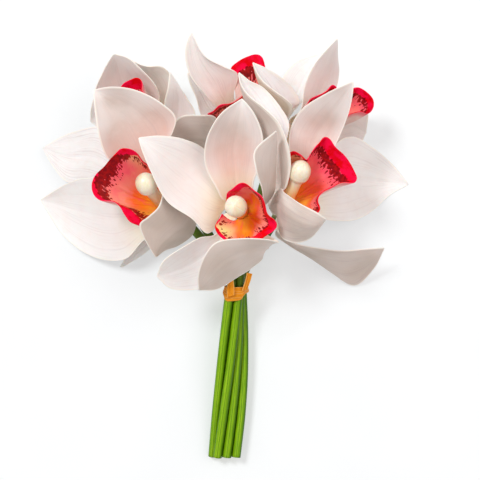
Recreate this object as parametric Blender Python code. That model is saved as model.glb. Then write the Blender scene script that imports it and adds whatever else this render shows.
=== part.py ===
"""Six single-flowered cymbidium orchid stems, tied in a short bunch and laid on their backs.

The bunch lies on the surface z = 0 with its stems towards -Y and its faces towards +Z.
Lengths below are millimetres; MM turns them into Blender's metres.
"""

import math
from collections import namedtuple

import bpy
from mathutils import Vector

MM = 0.001

# Stems and the knob that carries each flower
STEM_RADIUS = 2.2
OVARY_RADIUS = 2.9
KNOB_RADIUS = 3.5
STEM_SIDES = 8
STEM_RINGS = 18
OVARY_LENGTH = 14.0

# Sepals and petals
BLADE = 0.9
BASE_GAP = 0.35
BASE_HALF_WIDTH = 2.2
TIP_HALF_WIDTH = 0.4
SEPAL_LEVEL = -2.6
PETAL_LEVEL = -0.9
LIP_LEVEL = 0.3
BLADE_ROWS = 8
BLADE_COLUMNS = 6

# Lip
LIP_BLADE = 1.0
LIP_FOOT = 78.0
LIP_RISE = 32.0
LIP_ROWS = 7
LIP_COLUMNS = 20

# Column with its round cap
COLUMN_LENGTH = 21.0
COLUMN_RADIUS = 2.9
CAP_RADIUS = 5.3
COLUMN_SIDES = 10
# Rings of the neck, as shares of its length and radius, and rings of the cap, in degrees up its ball
NECK_RINGS = ((0.0, 0.8), (0.35, 0.95), (0.62, 1.05))
CAP_RINGS = (-50, -15, 20, 52, 80)
# How far a cap stands off its flower's axis, across and along the bunch
COLUMN_LEANS = {"front": (-1.5, -0.3), "left": (1.0, 3.2), "right": (-0.5, 1.6)}

# Outlines are drawn in plan, as seen from EYE mm above: (across, down) in half millimetres on a
# 480 x 480 sheet that is true to size at the height PLANE, and the height in mm
EYE = 900.0
PLANE = 35.0
SHEET_CENTRE = (7.75, 3.75)
SQUARE = 0.5
NECK = 3.5

Blade = namedtuple("Blade", "left middle right tip")
Bloom = namedtuple("Bloom", "centre tilt heading lip blades")

# Where each part sits round the flower, in degrees from the lip
CLOCK = {"right_sepal": 60, "right_petal": 120, "dorsal_sepal": 180,
         "left_petal": -120, "left_sepal": -60}

BLOOMS = {
    "front": Bloom((8, 18, 46), 6, 110, -30, {
        "right_sepal": Blade(
            [(262, 206, 45), (273, 195, 49), (276, 165, 58), (277, 143, 63)],
            [(262, 204, 50), (267, 188, 62), (269, 155, 70)],
            [(262, 204, 54), (263, 190, 70), (256, 171, 79), (254, 152, 80)],
            (276, 131, 72)),
        "right_petal": Blade(
            [(226, 197, 50), (206, 167, 58), (206, 140, 64), (220, 115, 68)],
            [(236, 185, 49), (233, 150, 54), (238, 120, 61)],
            [(250, 188, 50), (261, 160, 58), (262, 134, 63), (254, 113, 66)],
            (242, 99, 65)),
        "dorsal_sepal": Blade(
            [(207, 232, 50), (192, 219, 54), (168, 202, 58), (151, 171, 62), (143, 153, 63)],
            [(215, 203, 48), (185, 180, 52), (158, 156, 59)],
            [(224, 188, 46), (206, 151, 51), (183, 139, 58), (160, 136, 62)],
            (139, 138, 62)),
        "left_petal": Blade(
            [(230, 256, 41), (212, 285, 38), (190, 290, 38), (170, 288, 42)],
            [(217, 243, 43), (195, 260, 42), (174, 271, 44)],
            [(216, 235, 46), (199, 238, 50), (179, 249, 54), (163, 262, 53)],
            (157, 276, 48)),
        "left_sepal": Blade(
            [(262, 234, 50), (279, 242, 58), (268, 239, 66), (240, 239, 72), (216, 243, 74), (204, 257, 70),
             (198, 275, 63)],
            [(256, 238, 46), (268, 247, 52), (250, 252, 60), (225, 264, 62), (208, 280, 58)],
            [(250, 242, 42), (263, 257, 46), (252, 267, 47), (240, 275, 47), (218, 289, 49)],
            (199, 290, 55)),
    }),
    "right": Bloom((30, 22, 38), 45, 61, 28, {
        "right_sepal": Blade(
            [(294, 174, 36), (289, 152, 38), (290, 130, 42), (302, 110, 50), (327, 93, 55)],
            [(307, 172, 34), (314, 142, 37), (332, 112, 47)],
            [(320, 172, 35), (338, 140, 40), (348, 114, 48), (352, 97, 54)],
            (353, 82, 57)),
        "right_petal": Blade(
            [(286, 185, 52), (290, 155, 62), (280, 124, 66), (265, 109, 65), (250, 97, 62), (241, 84, 58)],
            [(278, 180, 44), (264, 150, 46), (252, 115, 48), (243, 92, 52)],
            [(281, 180, 40), (284, 150, 42), (289, 124, 46), (280, 107, 50), (262, 87, 53), (250, 81, 55)],
            (239, 73, 57)),
        "dorsal_sepal": Blade(
            [(277, 216, 50), (282, 237, 51), (296, 242, 52), (311, 238, 56)],
            [(278, 205, 54), (286, 213, 66), (302, 222, 68), (316, 225, 66)],
            [(280, 189, 52), (285, 193, 64), (300, 204, 68), (316, 212, 68)],
            (326, 219, 64)),
        "left_petal": Blade(
            [(276, 234, 26), (286, 243, 24), (308, 257, 18), (332, 273, 8), (355, 285, 1), (373, 270, 10)],
            [(279, 233, 29), (292, 243, 28), (315, 256, 23), (345, 264, 16), (368, 258, 20)],
            [(276, 230, 33), (290, 241, 34), (308, 246, 33), (335, 251, 31), (362, 249, 27)],
            (384, 248, 25)),
        "left_sepal": Blade(
            [(322, 168, 31), (339, 141, 32), (352, 137, 30), (372, 147, 20), (392, 164, 5)],
            [(312, 197, 33), (345, 182, 19), (371, 181, 5), (386, 182, 0.3)],
            [(305, 214, 33), (330, 220, 24), (354, 220, 13), (372, 211, 5), (390, 195, 0.3)],
            (408, 184, 0.3)),
    }),
    "left": Bloom((-30, 22, 34), 30, 146, 180, {
        "right_sepal": Blade(
            [(147, 233, 24), (127, 258, 15), (105, 260, 9), (84, 252, 5), (63, 235, 1), (50, 216, 0.3)],
            [(140, 215, 27), (105, 215, 16), (74, 208, 4), (60, 204, 0.3)],
            [(142, 200, 31), (112, 180, 28), (88, 178, 20), (64, 185, 7)],
            (41, 200, 0.3)),
        "right_petal": Blade(
            [(174, 225, 22), (163, 240, 14), (148, 250, 7), (134, 260, 3)],
            [(163, 225, 22), (145, 245, 11)],
            [(155, 228, 18), (132, 248, 8)],
            (121, 267, 1)),
        "dorsal_sepal": Blade(
            [(178, 186, 42), (161, 184, 52), (162, 194, 54), (158, 207, 56), (148, 217, 56), (140, 224, 54),
             (143, 236, 50)],
            [(188, 205, 36), (185, 222, 38), (168, 236, 43), (158, 248, 43)],
            [(196, 218, 28), (193, 234, 26), (178, 245, 29), (165, 250, 35)],
            (156, 257, 41)),
        "left_petal": Blade(
            [(144, 178, 34), (120, 168, 40), (107, 157, 45), (99, 135, 50), (95, 112, 50)],
            [(153, 178, 36), (145, 148, 40), (125, 116, 44)],
            [(168, 185, 38), (166, 150, 44), (176, 118, 52), (163, 104, 54), (137, 91, 52), (113, 87, 51)],
            (94, 90, 48)),
        "left_sepal": Blade(
            [(132, 191, 26), (100, 184, 17), (80, 183, 11), (66, 181, 9), (52, 165, 7)],
            [(132, 180, 28), (95, 156, 20), (68, 156, 11)],
            [(138, 165, 30), (115, 135, 27), (97, 127, 24), (84, 129, 20), (63, 136, 12)],
            (43, 148, 6)),
    }),
    "back_left": Bloom((-38, 58, 18), 30, 110, 100, {
        "right_sepal": Blade(
            [(130, 122, 22), (106, 116, 26), (95, 93, 30), (103, 71, 34)],
            [(136, 116, 14), (126, 95, 18), (119, 72, 28)],
            [(149, 118, 10), (160, 101, 22), (156, 87, 31), (142, 71, 38), (128, 58, 41)],
            (114, 54, 40)),
        "right_petal": Blade(
            [(138, 140, 9), (118, 141, 6), (102, 130, 6)],
            [(136, 130, 11), (116, 122, 8), (100, 114, 8)],
            [(132, 127, 12), (112, 104, 13), (96, 97, 14), (91, 109, 11)],
            (91, 122, 7)),
        "dorsal_sepal": Blade(
            [(150, 158, 11), (150, 174, 7)],
            [(143, 155, 10), (136, 172, 5)],
            [(135, 150, 11), (124, 164, 7)],
            (124, 190, 3)),
        "left_petal": Blade(
            [(165, 118, 25), (165, 103, 33), (168, 89, 37)],
            [(174, 122, 20), (178, 104, 26), (176, 88, 33)],
            [(182, 132, 18), (195, 115, 20), (187, 98, 27), (178, 84, 33)],
            (170, 73, 38)),
        "left_sepal": Blade(
            [(150, 112, 8), (134, 86, 11), (126, 68, 20)],
            [(160, 108, 8), (150, 86, 14), (139, 70, 25)],
            [(173, 106, 10), (171, 77, 22), (161, 67, 28), (146, 66, 31)],
            (128, 59, 32)),
    }),
    "back": Bloom((4, 60, 18), 12, 30, 72, {
        "right_sepal": Blade(
            [(218, 110, 23), (207, 97, 33), (192, 79, 40), (186, 60, 43), (186, 46, 44)],
            [(226, 109, 18), (217, 88, 29), (201, 62, 38)],
            [(232, 108, 15), (234, 92, 24), (237, 74, 36), (223, 66, 40), (204, 55, 43)],
            (191, 33, 43)),
        "right_petal": Blade(
            [(214, 126, 15), (201, 115, 21), (196, 97, 27), (190, 83, 29)],
            [(219, 121, 14), (208, 106, 19), (199, 90, 25)],
            [(223, 117, 14), (214, 101, 20), (202, 84, 29)],
            (188, 73, 30)),
        "dorsal_sepal": Blade(
            [(227, 147, 20), (222, 136, 28), (215, 117, 37), (201, 115, 41), (180, 117, 38)],
            [(222, 147, 17), (215, 145, 21), (203, 138, 28), (182, 138, 30)],
            [(219, 150, 12.5), (213, 156, 12), (203, 158, 15), (182, 155, 20)],
            (166, 140, 29)),
        "left_petal": Blade(
            [(256, 139, 15), (268, 152, 15)],
            [(249, 143, 14), (259, 158, 13)],
            [(241, 146, 15), (247, 163, 14)],
            (265, 176, 13)),
        "left_sepal": Blade(
            [(250, 114, 15), (265, 106, 13)],
            [(252, 124, 13), (266, 119, 11)],
            [(254, 133, 13), (268, 130, 11)],
            (280, 115, 9)),
    }),
    "back_right": Bloom((37, 58, 15), 45, 25, 25, {
        "right_sepal": Blade(
            [(300, 112, 18), (304, 90, 26), (314, 66, 35), (325, 51, 41)],
            [(309, 112, 13), (321, 88, 20), (330, 65, 31)],
            [(318, 114, 11), (334, 92, 14), (339, 72, 22), (338, 57, 32)],
            (337, 39, 41)),
        "right_petal": Blade(
            [(284, 112, 10), (280, 92, 8), (284, 76, 5), (297, 62, 1), (309, 57, 0.3)],
            [(291, 110, 9), (298, 90, 5), (308, 71, 1), (313, 63, 0.3)],
            [(295, 109, 8), (314, 90, 7), (321, 70, 4)],
            (322, 54, 0.3)),
        "dorsal_sepal": Blade(
            [(287, 122, 24), (292, 106, 38), (274, 91, 44), (262, 80, 44)],
            [(281, 121, 18), (271, 104, 27), (260, 83, 36)],
            [(287, 112, 16), (299, 103, 22), (292, 88, 29), (279, 76, 35), (266, 68, 39)],
            (253, 63, 42)),
        "left_petal": Blade(
            [(312, 150, 12), (322, 165, 8)],
            [(302, 152, 10), (308, 168, 6)],
            [(292, 150, 12), (294, 165, 9)],
            (310, 185, 4)),
        "left_sepal": Blade(
            [(318, 126, 9), (340, 106, 12), (357, 107, 13), (367, 112, 11)],
            [(316, 136, 7), (340, 130, 6), (356, 128, 6)],
            [(314, 146, 7), (338, 152, 5), (358, 148, 5)],
            (366, 133, 6)),
    }),
}

# Rims of the lips, anticlockwise round the column from one side lobe to the other
LIPS = {
    "front": [(222, 214, 56), (216, 226, 61), (218, 234, 62), (226, 241, 61), (238, 246, 58), (252, 243, 58),
              (264, 237, 60), (273, 231, 61), (276, 226, 62), (268, 212, 65), (263, 203, 67), (261, 196, 68),
              (254, 190, 69), (243, 184, 70), (233, 187, 68), (228, 194, 64), (226, 202, 58)],
    "right": [(288, 213, 48), (300, 213, 54), (312, 215, 56), (318, 210, 56), (318, 201, 55), (323, 192, 53),
              (334, 186, 51), (346, 183, 50), (356, 179, 49), (355, 172, 49), (346, 158, 50), (335, 146, 52),
              (325, 138, 54), (317, 144, 54), (312, 153, 54), (307, 160, 54), (301, 154, 56), (292, 153, 57),
              (287, 162, 55)],
    "left": [(152, 174, 46), (145, 162, 50), (137, 154, 53), (128, 149, 54), (120, 149, 53), (112, 159, 52),
             (100, 170, 50), (92, 184, 48), (94, 195, 48), (108, 201, 49), (121, 207, 49), (125, 214, 49),
             (130, 222, 49), (140, 225, 47), (152, 223, 44)],
    "back_left": [(161, 124, 27), (158, 111, 31), (151, 99, 34), (144, 91, 35), (142, 84, 35), (137, 79, 35),
                  (130, 80, 35), (124, 83, 35), (121, 88, 34), (120, 100, 32), (126, 113, 31), (133, 122, 28)],
    "back": [(252, 122, 22), (258, 112, 24), (262, 100, 27), (264, 84, 30), (266, 69, 33), (261, 57, 34),
             (255, 55, 34), (246, 57, 33), (238, 62, 32), (231, 69, 30), (243, 80, 32), (248, 90, 38),
             (242, 97, 43), (228, 104, 43), (215, 109, 40), (208, 114, 36), (213, 122, 30)],
    "back_right": [(322, 138, 22), (333, 130, 25), (342, 121, 28), (351, 113, 30), (360, 112, 31), (367, 115, 31),
                   (372, 108, 31), (373, 100, 31), (368, 93, 32), (360, 89, 33), (348, 90, 34), (338, 90, 34),
                   (333, 86, 36), (326, 91, 37), (316, 97, 37), (308, 103, 34), (301, 114, 30)],
}

# The six stems lie in two rows of three at the cut end; the bunch turns as one to the tie
CUT_Y = -108.4
TIE_Y = -23.5
CUT_MIDDLE = (-0.3, 4.2)
TIE_MIDDLE = (5.7, 15.4)
STEM_PITCH = 4.9
BUNCH_TURN = -78.0
BUNCH_BOW = 0.8
STEM_PLACES = {"left": (0, 0), "back_left": (1, 0), "back": (2, 0),
               "front": (0, 1), "right": (1, 1), "back_right": (2, 1)}

# Raffia tie, with a folded loop and a loose end: (left edge, right edge) as drawn
RIBBONS = {
    "raffia_loop": ([(227.5, 297, 25.1), (227, 288, 25.6), (230, 279, 27.0)],
                    [(234, 295, 25.2), (234, 287, 26.2), (233, 279, 27.6)]),
    "raffia_end": ([(242, 290, 23.9), (245, 281, 24.3), (247, 273, 25.4)],
                   [(246.5, 290, 21.5), (250, 281, 22.3), (252, 274, 23.7)]),
}
TIE_WIDTH = 7.0
TIE_BLADE = 0.7
TIE_GAP = 0.6
TIE_SIDES = 28

WHITE = (0.93, 0.87, 0.85)
CRIMSON = (0.80, 0.05, 0.10)
CREAM = (0.95, 0.85, 0.65)
GREEN = (0.22, 0.42, 0.03)
RAFFIA = (0.78, 0.45, 0.12)


def material(name, colour, roughness):
    """A plain Principled material, made once for each name."""
    found = bpy.data.materials.get(name)
    if found:
        return found
    made = bpy.data.materials.new(name)
    made.use_nodes = True
    shader = made.node_tree.nodes["Principled BSDF"]
    shader.inputs["Base Color"].default_value = (*colour, 1)
    shader.inputs["Roughness"].default_value = roughness
    shader.inputs["Metallic"].default_value = 0.0
    made.diffuse_color = (*colour, 1)
    return made


def smooth(t):
    """0 to 1 with level ends."""
    t = min(1.0, max(0.0, t))
    return t * t * (3 - 2 * t)


def flower_frame(bloom):
    """The flower's own axes: the way it faces, the way to its lip, and the way round from the lip."""
    tilt, heading, lip = (math.radians(x) for x in (bloom.tilt, bloom.heading, bloom.lip))
    axis = Vector((math.sin(tilt) * math.cos(heading), math.sin(tilt) * math.sin(heading), math.cos(tilt)))
    down = Vector((math.cos(lip), math.sin(lip), 0))
    down = (down - down.dot(axis) * axis).normalized()
    return axis, down, axis.cross(down)


def seen(across, down, height):
    """The place in mm of a point drawn on the plan sheet."""
    share = SQUARE * (EYE - height) / (EYE - PLANE)
    return Vector((SHEET_CENTRE[0] + (across - 240) * share, SHEET_CENTRE[1] + (240 - down) * share, height))


def carried_frames(points, normal):
    """Tangents, and a normal carried along the points without twist."""
    tangents, normals = [], []
    count = len(points)
    for i in range(count):
        ahead, behind = points[min(i + 1, count - 1)], points[max(i - 1, 0)]
        tangent = (ahead - behind).normalized()
        if normals:
            normal = tangents[-1].rotation_difference(tangent) @ normals[-1]
        normal = (normal - normal.dot(tangent) * tangent).normalized()
        tangents.append(tangent)
        normals.append(normal)
    return tangents, normals


def curve_through(places, samples):
    """Evenly spread points on a smooth curve through the places."""
    knots = [0.0]
    for p, q in zip(places, places[1:]):
        knots.append(knots[-1] + max((q - p).length, 0.1) ** 0.5)
    last = len(places) - 1
    gaps = [q - p for p, q in zip(knots, knots[1:])]
    rates = [(q - p) / gap for p, q, gap in zip(places, places[1:], gaps)]
    slopes = [rates[0]]
    for i in range(1, last):
        before, after = gaps[i - 1], gaps[i]
        slopes.append((rates[i - 1] * after + rates[i] * before) / (before + after))
    slopes.append(rates[-1])
    dense = []
    for i in range(last):
        gap = gaps[i]
        for j in range(16):
            t = j / 16
            dense.append((2 * t ** 3 - 3 * t ** 2 + 1) * places[i] + (t ** 3 - 2 * t ** 2 + t) * gap * slopes[i]
                         + (3 * t ** 2 - 2 * t ** 3) * places[i + 1] + (t ** 3 - t ** 2) * gap * slopes[i + 1])
    dense.append(places[-1])
    lengths = [0.0]
    for p, q in zip(dense, dense[1:]):
        lengths.append(lengths[-1] + (q - p).length)
    points, i = [], 0
    for k in range(samples):
        want = lengths[-1] * k / (samples - 1)
        while i < len(dense) - 2 and lengths[i + 1] < want:
            i += 1
        t = (want - lengths[i]) / max(lengths[i + 1] - lengths[i], 1e-9)
        points.append(dense[i].lerp(dense[i + 1], t))
    return points, lengths[-1]


def blade_surface(bloom, part, blade, steps=60):
    """surface(u, v): a point of the blade's middle sheet, u from foot to tip and v from left to right margin."""
    axis, down, around = flower_frame(bloom)
    clock = math.radians(CLOCK[part])
    out = math.cos(clock) * down + math.sin(clock) * around
    level = PETAL_LEVEL if part.endswith("petal") else SEPAL_LEVEL
    foot = Vector(bloom.centre) + (KNOB_RADIUS + BASE_GAP) * out + level * axis
    side = out.cross(axis)
    tip = seen(*blade.tip)
    end = (tip - seen(*blade.middle[-1])).normalized()
    last = seen(*blade.right[-1]) - seen(*blade.left[-1])
    last = (last - last.dot(end) * end).normalized()
    rails = []
    for drawn, v in ((blade.left, -1), (blade.middle, 0), (blade.right, 1)):
        places = [foot + v * BASE_HALF_WIDTH * side, foot + NECK * out + v * BASE_HALF_WIDTH * side]
        places += [seen(*point) for point in drawn]
        places.append(tip + v * TIP_HALF_WIDTH * last)
        rails.append(curve_through(places, steps + 1)[0])

    def surface(u, v):
        place = min(max(u, 0.0), 1.0) * steps
        i = min(int(place), steps - 1)
        left, middle, right = (rail[i].lerp(rail[i + 1], place - i) for rail in rails)
        return middle + v * (right - left) / 2 + v * v * ((right + left) / 2 - middle)

    return surface


def lip_surface(name, bloom, steps=60):
    """surface(u, v) for the lip: it leaves the knob outwards and rises to the drawn rim, v round the column."""
    axis, down, around = flower_frame(bloom)
    centre = Vector(bloom.centre) + LIP_LEVEL * axis
    rim = curve_through([seen(*point) for point in LIPS[name]], steps + 1)[0]
    rise = math.radians(LIP_RISE)

    def surface(u, v):
        place = (v + 1) / 2 * steps
        i = min(max(int(place), 0), steps - 1)
        edge = rim[i].lerp(rim[i + 1], place - i)
        turn = math.radians(LIP_FOOT * v)
        out = math.cos(turn) * down + math.sin(turn) * around
        foot = centre + (KNOB_RADIUS + BASE_GAP + 0.35) * out
        away = math.cos(rise) * out + math.sin(rise) * axis + 0.7 * (edge - foot).normalized()
        bend = foot + 0.5 * (edge - foot).length * away.normalized()
        return (1 - u) ** 2 * foot + 2 * u * (1 - u) * bend + u * u * edge

    return surface


def sheet_normal(surface, u, v):
    """The sheet's unit normal at (u, v), towards the flower's face."""
    d = 0.01
    along = surface(min(u + d, 1), v) - surface(max(u - d, 0), v)
    across = surface(u, min(v + d, 1)) - surface(u, max(v - d, -1))
    return across.cross(along).normalized()


def sheet_mesh(name, surface, thickness, rows, columns, pointed=False):
    """A closed blade: the surface's two faces, set apart by the thickness and cut into like triangles.

    Where it would reach below z = 0 it lies flat on the surface instead. A pointed blade's last row is one point.
    """
    verts, number = [], {}
    for side in (1, -1):
        for r in range(rows + 1):
            for c in range(columns + 1):
                end = pointed and r == rows
                if end and c:
                    number[r, c, side] = number[r, 0, side]
                    continue
                u, v = r / rows, 0.0 if end else 2 * c / columns - 1
                point = surface(u, v)
                point.z = max(point.z, 0.4 * thickness)
                point += 0.5 * side * thickness * sheet_normal(surface, u, v)
                point.z = max(point.z, 0.0)
                number[r, c, side] = len(verts)
                verts.append(point * MM)
    faces = []
    for r in range(rows):
        for c in range(columns):
            a, b, d, e = ((r, c), (r, c + 1), (r + 1, c + 1), (r + 1, c))
            halves = ((a, b, d), (a, d, e)) if c < columns / 2 else ((a, b, e), (b, d, e))
            for half in halves:
                faces.append([number[p + (1,)] for p in half])
                faces.append([number[p + (-1,)] for p in half][::-1])
    rim = [(0, c) for c in range(columns)] + [(r, columns) for r in range(rows)]
    rim += [(rows, c) for c in range(columns, 0, -1)] + [(r, 0) for r in range(rows, 0, -1)]
    for p, q in zip(rim, rim[1:] + rim[:1]):
        faces.append([number[p + (1,)], number[q + (-1,)], number[q + (1,)]])
        faces.append([number[p + (1,)], number[p + (-1,)], number[q + (-1,)]])
    mesh = bpy.data.meshes.new(name)
    mesh.from_pydata(verts, [], [face for face in faces if len(set(face)) == 3])
    mesh.update()
    return mesh


def tube_mesh(name, points, radii, sides, squash=1.0):
    """A closed tube with flat ends, through points, with a radius at each."""
    tangents, normals = carried_frames(points, Vector((0, 0, 1)))
    verts, faces = [], []
    for point, tangent, normal, radius in zip(points, tangents, normals, radii):
        side = tangent.cross(normal)
        for k in range(sides):
            turn = 2 * math.pi * (k + 0.5) / sides
            verts.append((point + radius * (math.cos(turn) * normal + squash * math.sin(turn) * side)) * MM)
    for r in range(len(points) - 1):
        for k in range(sides):
            a, b = r * sides + k, r * sides + (k + 1) % sides
            faces.append([a, b, b + sides, a + sides])
    faces.append(list(range(sides))[::-1])
    faces.append([(len(points) - 1) * sides + k for k in range(sides)])
    mesh = bpy.data.meshes.new(name)
    mesh.from_pydata(verts, [], faces)
    mesh.update()
    return mesh


def add(name, mesh, finish):
    """Puts the mesh in the scene as one named piece."""
    mesh.materials.append(finish)
    mesh.shade_smooth()
    piece = bpy.data.objects.new(name, mesh)
    bpy.context.scene.collection.objects.link(piece)
    return piece


def stem_place(name, share):
    """Where the stem is at a share of the way from the cut end to the tie."""
    row, layer = STEM_PLACES[name]
    x = STEM_PITCH * (row + layer / 2 - 1.25)
    z = STEM_PITCH * math.sqrt(3) / 2 * (layer - 0.5)
    turn = math.radians(BUNCH_TURN * share)
    middle = Vector(CUT_MIDDLE).lerp(Vector(TIE_MIDDLE), share)
    across = middle.x + BUNCH_BOW * math.sin(math.pi * share) + math.cos(turn) * x - math.sin(turn) * z
    height = middle.y + math.sin(turn) * x + math.cos(turn) * z
    return Vector((across, CUT_Y + (TIE_Y - CUT_Y) * share, height))


def stem(name, bloom):
    """One stem from its cut end, through the tie, to the knob behind its flower."""
    axis = flower_frame(bloom)[0]
    centre = Vector(bloom.centre)
    places = [stem_place(name, share) for share in (0, 0.25, 0.5, 0.75, 1, 1.08)]
    places += [centre - OVARY_LENGTH * axis, centre + LIP_LEVEL * axis]
    points, length = curve_through(places, STEM_RINGS)
    radii = []
    for k in range(STEM_RINGS):
        left = length * (1 - k / (STEM_RINGS - 1))
        swell = smooth(1 - left / (1.6 * OVARY_LENGTH))
        knob = smooth(1 - left / 6.0)
        radii.append(STEM_RADIUS + (OVARY_RADIUS - STEM_RADIUS) * swell + (KNOB_RADIUS - OVARY_RADIUS) * knob)
    piece = "stem_" + name
    add(piece, tube_mesh(piece, points, radii, STEM_SIDES), material("stem", GREEN, 0.45))


def ribbon(name, left, right, steps=12):
    """A short strip of raffia between its two drawn edges."""
    rails = [curve_through([seen(*point) for point in edge], steps + 1)[0] for edge in (left, right)]

    def surface(u, v):
        place = min(max(u, 0.0), 1.0) * steps
        i = min(int(place), steps - 1)
        a, b = (rail[i].lerp(rail[i + 1], place - i) for rail in rails)
        return a.lerp(b, (v + 1) / 2)

    add(name, sheet_mesh(name, surface, TIE_BLADE, 5, 2), material("raffia", RAFFIA, 0.7))


def tie():
    """The raffia: a sleeve that follows the outline of the bunched stems."""
    name = "raffia_tie"
    verts, faces = [], []
    for y in (TIE_Y - TIE_WIDTH / 2, TIE_Y + TIE_WIDTH / 2):
        share = (y - CUT_Y) / (TIE_Y - CUT_Y)
        places = [stem_place(stem_name, share) for stem_name in STEM_PLACES]
        for reach in (STEM_RADIUS + TIE_GAP, STEM_RADIUS + TIE_GAP + TIE_BLADE):
            for k in range(TIE_SIDES):
                turn = 2 * math.pi * k / TIE_SIDES
                ray = Vector((math.cos(turn), 0, math.sin(turn)))
                outermost = max(places, key=lambda place: place.dot(ray))
                verts.append((outermost + reach * ray) * MM)
    for k in range(TIE_SIDES):
        j = (k + 1) % TIE_SIDES
        inner, outer, far_inner, far_outer = (TIE_SIDES * ring for ring in range(4))
        faces.append([inner + k, inner + j, far_inner + j, far_inner + k])
        faces.append([outer + k, far_outer + k, far_outer + j, outer + j])
        faces.append([inner + k, outer + k, outer + j, inner + j])
        faces.append([far_inner + k, far_inner + j, far_outer + j, far_outer + k])
    mesh = bpy.data.meshes.new(name)
    mesh.from_pydata(verts, [], faces)
    mesh.update()
    add(name, mesh, material("raffia", RAFFIA, 0.7))


def column(name, bloom):
    """The column: a neck that rises from the knob and ends in the round anther cap."""
    axis = flower_frame(bloom)[0]
    centre = Vector(bloom.centre) + (LIP_LEVEL + 0.9) * axis
    lean = Vector((*COLUMN_LEANS.get(name, (0, 0)), 0))
    rings = [(share * COLUMN_LENGTH, scale * COLUMN_RADIUS) for share, scale in NECK_RINGS]
    for turn in CAP_RINGS:
        rise = math.sin(math.radians(turn)) * CAP_RADIUS
        rings.append((COLUMN_LENGTH + rise, math.cos(math.radians(turn)) * CAP_RADIUS))
    points, radii = [], []
    for height, radius in rings:
        share = height / COLUMN_LENGTH
        bend = share ** 2 if share < 1 else 2 * share - 1
        points.append(centre + height * axis + bend * lean)
        radii.append(radius)
    piece = "column_" + name
    add(piece, tube_mesh(piece, points, radii, COLUMN_SIDES), material("column", CREAM, 0.35))


def bloom_pieces(name, bloom):
    """The five blades, the lip and the column of one flower, each a piece of its own."""
    for part, blade in bloom.blades.items():
        surface = blade_surface(bloom, part, blade)
        piece = f"{part}_{name}"
        mesh = sheet_mesh(piece, surface, BLADE, BLADE_ROWS, BLADE_COLUMNS, pointed=True)
        add(piece, mesh, material("petal", WHITE, 0.5))
    lip = "lip_" + name
    add(lip, sheet_mesh(lip, lip_surface(name, bloom), LIP_BLADE, LIP_ROWS, LIP_COLUMNS),
        material("lip", CRIMSON, 0.4))
    column(name, bloom)


def clear_scene():
    for thing in list(bpy.data.objects):
        bpy.data.objects.remove(thing, do_unlink=True)


def main():
    clear_scene()
    for name, bloom in BLOOMS.items():
        bloom_pieces(name, bloom)
        stem(name, bloom)
    tie()
    for name, (left, right) in RIBBONS.items():
        ribbon(name, left, right)


main()
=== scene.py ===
# %% [markdown]
# # A tied bunch of cymbidium orchids
#
# Six open orchids, each on its own short green stem, are tied with raffia just below the flowers and
# laid on their backs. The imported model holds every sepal, petal, lip, column, stem and band of
# raffia as a plain faceted solid at its real size. This lesson puts a finer piece in the place of each
# one: the same outline, drawn with more rows of points, with soft edges, veins, speckles and fibres.

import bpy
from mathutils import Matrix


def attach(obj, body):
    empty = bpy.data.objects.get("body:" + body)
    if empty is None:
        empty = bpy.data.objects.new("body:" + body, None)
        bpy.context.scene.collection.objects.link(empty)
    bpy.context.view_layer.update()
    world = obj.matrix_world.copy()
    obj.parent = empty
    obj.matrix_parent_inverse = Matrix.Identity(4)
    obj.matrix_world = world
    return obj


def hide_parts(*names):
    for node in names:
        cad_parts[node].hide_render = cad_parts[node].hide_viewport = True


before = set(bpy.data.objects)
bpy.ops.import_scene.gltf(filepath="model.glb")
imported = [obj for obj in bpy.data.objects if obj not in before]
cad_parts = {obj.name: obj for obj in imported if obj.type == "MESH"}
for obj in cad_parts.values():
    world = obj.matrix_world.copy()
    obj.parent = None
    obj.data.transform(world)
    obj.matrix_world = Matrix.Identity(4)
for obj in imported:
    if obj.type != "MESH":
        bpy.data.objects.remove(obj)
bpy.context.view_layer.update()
print("nodes in the packed model:", len(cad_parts))

# %% The tools this lesson uses
from collections import namedtuple
from math import cos, pi, radians, sin, sqrt

import bpy
import numpy as np
from mathutils import Vector

MM = 0.001
ROOT = "root"


def add_object(name, data):
    """A new object in the scene."""
    item = bpy.data.objects.new(name, data)
    bpy.context.scene.collection.objects.link(item)
    return item


print("Blender", bpy.app.version_string)

# %% [markdown]
# ## The camera first
#
# The bunch lies on a table and the photographer looks straight down on it. Drawing in plan is easy
# when the picture's squares have a known size, so the camera is set by three numbers: how high the
# eye is, at which height the drawing is true to size, and how many millimetres one square is there.
# The same three numbers turn a drawn point into a place in space further down.

# %% The camera, straight above
EYE = 900.0
PLANE = 35.0
SQUARE = 0.5
SHEET = 480
SHEET_CENTRE = (7.75, 3.75)
SENSOR = 36.0

camera_data = bpy.data.cameras.new("camera")
camera_data.sensor_width = SENSOR
camera_data.lens = SENSOR * (EYE - PLANE) / (SHEET * SQUARE)
camera_data.clip_end = 10
camera = add_object("camera", camera_data)
camera.location = (SHEET_CENTRE[0] * MM, SHEET_CENTRE[1] * MM, EYE * MM)
bpy.context.scene.camera = camera
print("lens", round(camera_data.lens, 1), "mm")

# %% [markdown]
# ## Drawing with curves
#
# A petal's outline needs only a handful of points if a smooth curve joins them. `curve_through` is a
# Hermite spline whose slopes are weighted by the gaps between the points, so it doesn't swing out
# where points are close together, and it gives its points back at even spacing.

# %% A drawn point in space, and a smooth curve through points
CURVE_STEPS = 16


def seen(across, down, height):
    """The place in mm of a point drawn on the plan sheet."""
    share = SQUARE * (EYE - height) / (EYE - PLANE)
    x = SHEET_CENTRE[0] + (across - SHEET / 2) * share
    y = SHEET_CENTRE[1] + (SHEET / 2 - down) * share
    return np.array([x, y, height], float)


def unit(vectors):
    """One vector, or a grid of them, made one long."""
    return vectors / np.maximum(np.linalg.norm(vectors, axis=-1, keepdims=True), 1e-9)


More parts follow.
